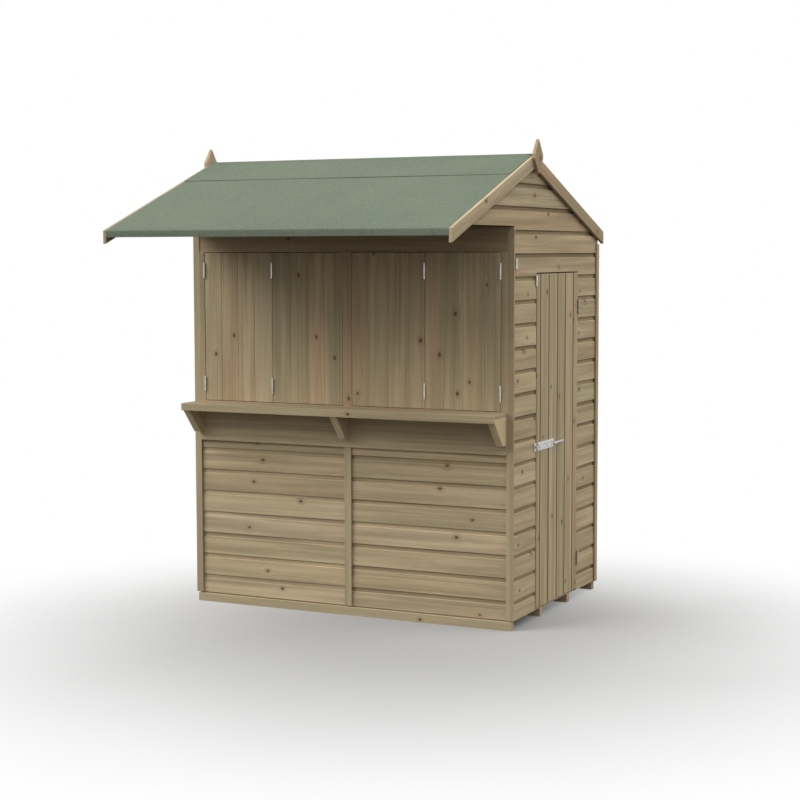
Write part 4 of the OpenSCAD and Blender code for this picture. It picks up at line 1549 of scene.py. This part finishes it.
class GARDENBAR_OT_stage(Operator):
    """Studio floor, lights, background and camera"""

    bl_idname = "garden_bar.stage"
    bl_label = "Stage"

    def execute(self, context):
        self.floor()
        self.lights()
        self.camera()
        context.scene.view_settings.view_transform = "Standard"
        return {"FINISHED"}

    def floor(self):
        colours = bpy.context.scene.garden_bar_colours
        bm = bmesh.new()
        bmesh.ops.create_grid(bm, x_segments=8, y_segments=8, size=30.0)
        floor = made_piece("studio_floor", bm, ())
        f = Finish("studio_floor")
        place = f.add("ShaderNodeTexCoord").outputs["Object"]
        # Painted shade round the bar: seen from the camera, the floor keeps its lit colour near the bar and
        # turns to glowing white from about half a metre to three metres from a point near the bar's middle,
        # with a noise wobble in that distance
        x, y = f.split(f.vector("SUBTRACT", place, (0.55, -0.55, 0.0)))[:2]
        reach = f.maths("SQRT", f.maths("ADD", f.times(x, x), f.times(y, y)))
        fade_wobble = f.noise(place, 0.8, 2.0, 0.5)
        reach = f.maths("ADD", reach, f.times(fade_wobble, 0.3))
        path = f.add("ShaderNodeLightPath")
        seen = f.maths("MAXIMUM", path.outputs["Is Camera Ray"], path.outputs["Is Glossy Ray"], True)
        # Other rays see the floor at 0.12 of its colour, so it throws little light back onto the bar
        dim = tuple(0.12 * c for c in colours.floor) + (1.0,)
        paint = f.mix(seen, dim, solid(colours.floor))
        matt = f.add("ShaderNodeBsdfDiffuse")
        f.put(matt.inputs["Color"], paint)
        white = f.add("ShaderNodeEmission")
        white.inputs["Strength"].default_value = 1.0
        blend = f.add("ShaderNodeMixShader")
        f.put(blend.inputs[0], f.times(f.fade(reach, 0.5, 3.1), seen))
        f.put(blend.inputs[1], matt.outputs[0])
        f.put(blend.inputs[2], white.outputs[0])
        output = f.add("ShaderNodeOutputMaterial")
        f.put(output.inputs[0], blend.outputs[0])
        floor.data.materials.append(f.material)

    def lights(self):
        lamps = (
            ("key_light", (-0.75, -0.62, 0.80), 2.10, 40.0),
            ("side_light", (0.80, 0.05, 0.85), 1.05, 60.0),
        )
        for name, way, power, spread in lamps:
            data = bpy.data.lights.new(name, "SUN")
            data.energy = power
            data.angle = math.radians(spread)
            lamp = bpy.data.objects.new(name, data)
            lamp.rotation_euler = Vector(way).to_track_quat("Z", "Y").to_euler()
            lamp.location = Vector(way) * 6.0
            bpy.context.scene.collection.objects.link(lamp)
        world = bpy.data.worlds.new("studio")
        world.use_nodes = True
        bpy.context.scene.world = world
        n = Nodes(world.node_tree)
        shades = []
        for colour, strength in (((1.0, 0.99, 0.97, 1.0), 0.77), ((1.0, 1.0, 1.0, 1.0), 1.0)):
            shade = n.add("ShaderNodeBackground")
            n.put(shade.inputs["Color"], colour)
            n.put(shade.inputs["Strength"], strength)
            shades.append(shade.outputs[0])
        path = n.add("ShaderNodeLightPath").outputs
        seen = n.maths("MAXIMUM", path["Is Camera Ray"], path["Is Glossy Ray"])
        seen = n.maths("MAXIMUM", seen, path["Is Transmission Ray"])
        mix = n.add("ShaderNodeMixShader")
        for socket, value in zip(mix.inputs, [seen] + shades):
            n.put(socket, value)
        output = n.add("ShaderNodeOutputWorld")
        n.put(output.inputs[0], mix.outputs[0])

    def camera(self):
        data = bpy.data.cameras.new("view")
        data.sensor_width = 36.0
        data.lens = 78.42
        camera = bpy.data.objects.new("view", data)
        yaw, pitch, roll = math.radians(25.854), math.radians(4.902), math.radians(-0.115)
        ahead = Vector((-math.sin(yaw) * math.cos(pitch), math.cos(yaw) * math.cos(pitch), -math.sin(pitch)))
        right = Vector((math.cos(yaw), math.sin(yaw), 0.0))
        up = right.cross(ahead)
        tilted = right * math.cos(roll) + up * math.sin(roll)
        upright = -right * math.sin(roll) + up * math.cos(roll)
        turn = Matrix((tilted, upright, -ahead)).transposed()
        camera.matrix_world = Matrix.Translation((4.104, -8.083, 1.872)) @ turn.to_4x4()
        bpy.context.scene.collection.objects.link(camera)
        bpy.context.scene.camera = camera


STEPS = (
    GARDENBAR_OT_stage,
    GARDENBAR_OT_floor,
    GARDENBAR_OT_frames,
    GARDENBAR_OT_walls,
    GARDENBAR_OT_trims,
    GARDENBAR_OT_counter,
    GARDENBAR_OT_shutters,
    GARDENBAR_OT_door,
    GARDENBAR_OT_fastenings,
    GARDENBAR_OT_roof,
    GARDENBAR_OT_felt,
    GARDENBAR_OT_verges,
)


class GARDENBAR_PT_panel(Panel):
    """Lists the garden bar's sizes, colours and steps"""

    bl_idname = "GARDENBAR_PT_panel"
    bl_label = "Garden Bar"
    bl_space_type = "VIEW_3D"
    bl_region_type = "UI"
    bl_category = "Garden Bar"

    def draw(self, context):
        layout = self.layout
        for group in (context.scene.garden_bar_sizes, context.scene.garden_bar_colours):
            box = layout.box()
            for key in group.__annotations__:
                box.prop(group, key)
        for step in STEPS:
            layout.operator(step.bl_idname)


CLASSES = (GardenBarSizes, GardenBarColours) + STEPS + (GARDENBAR_PT_panel,)


def register():
    for item in CLASSES:
        bpy.utils.register_class(item)
    bpy.types.Scene.garden_bar_sizes = PointerProperty(type=GardenBarSizes)
    bpy.types.Scene.garden_bar_colours = PointerProperty(type=GardenBarColours)


def unregister():
    del bpy.types.Scene.garden_bar_colours
    del bpy.types.Scene.garden_bar_sizes
    for item in reversed(CLASSES):
        bpy.utils.unregister_class(item)


def main():
    register()
    for step in STEPS:
        group, name = step.bl_idname.split(".")
        getattr(getattr(bpy.ops, group), name)()


if __name__ == "__main__":
    main()
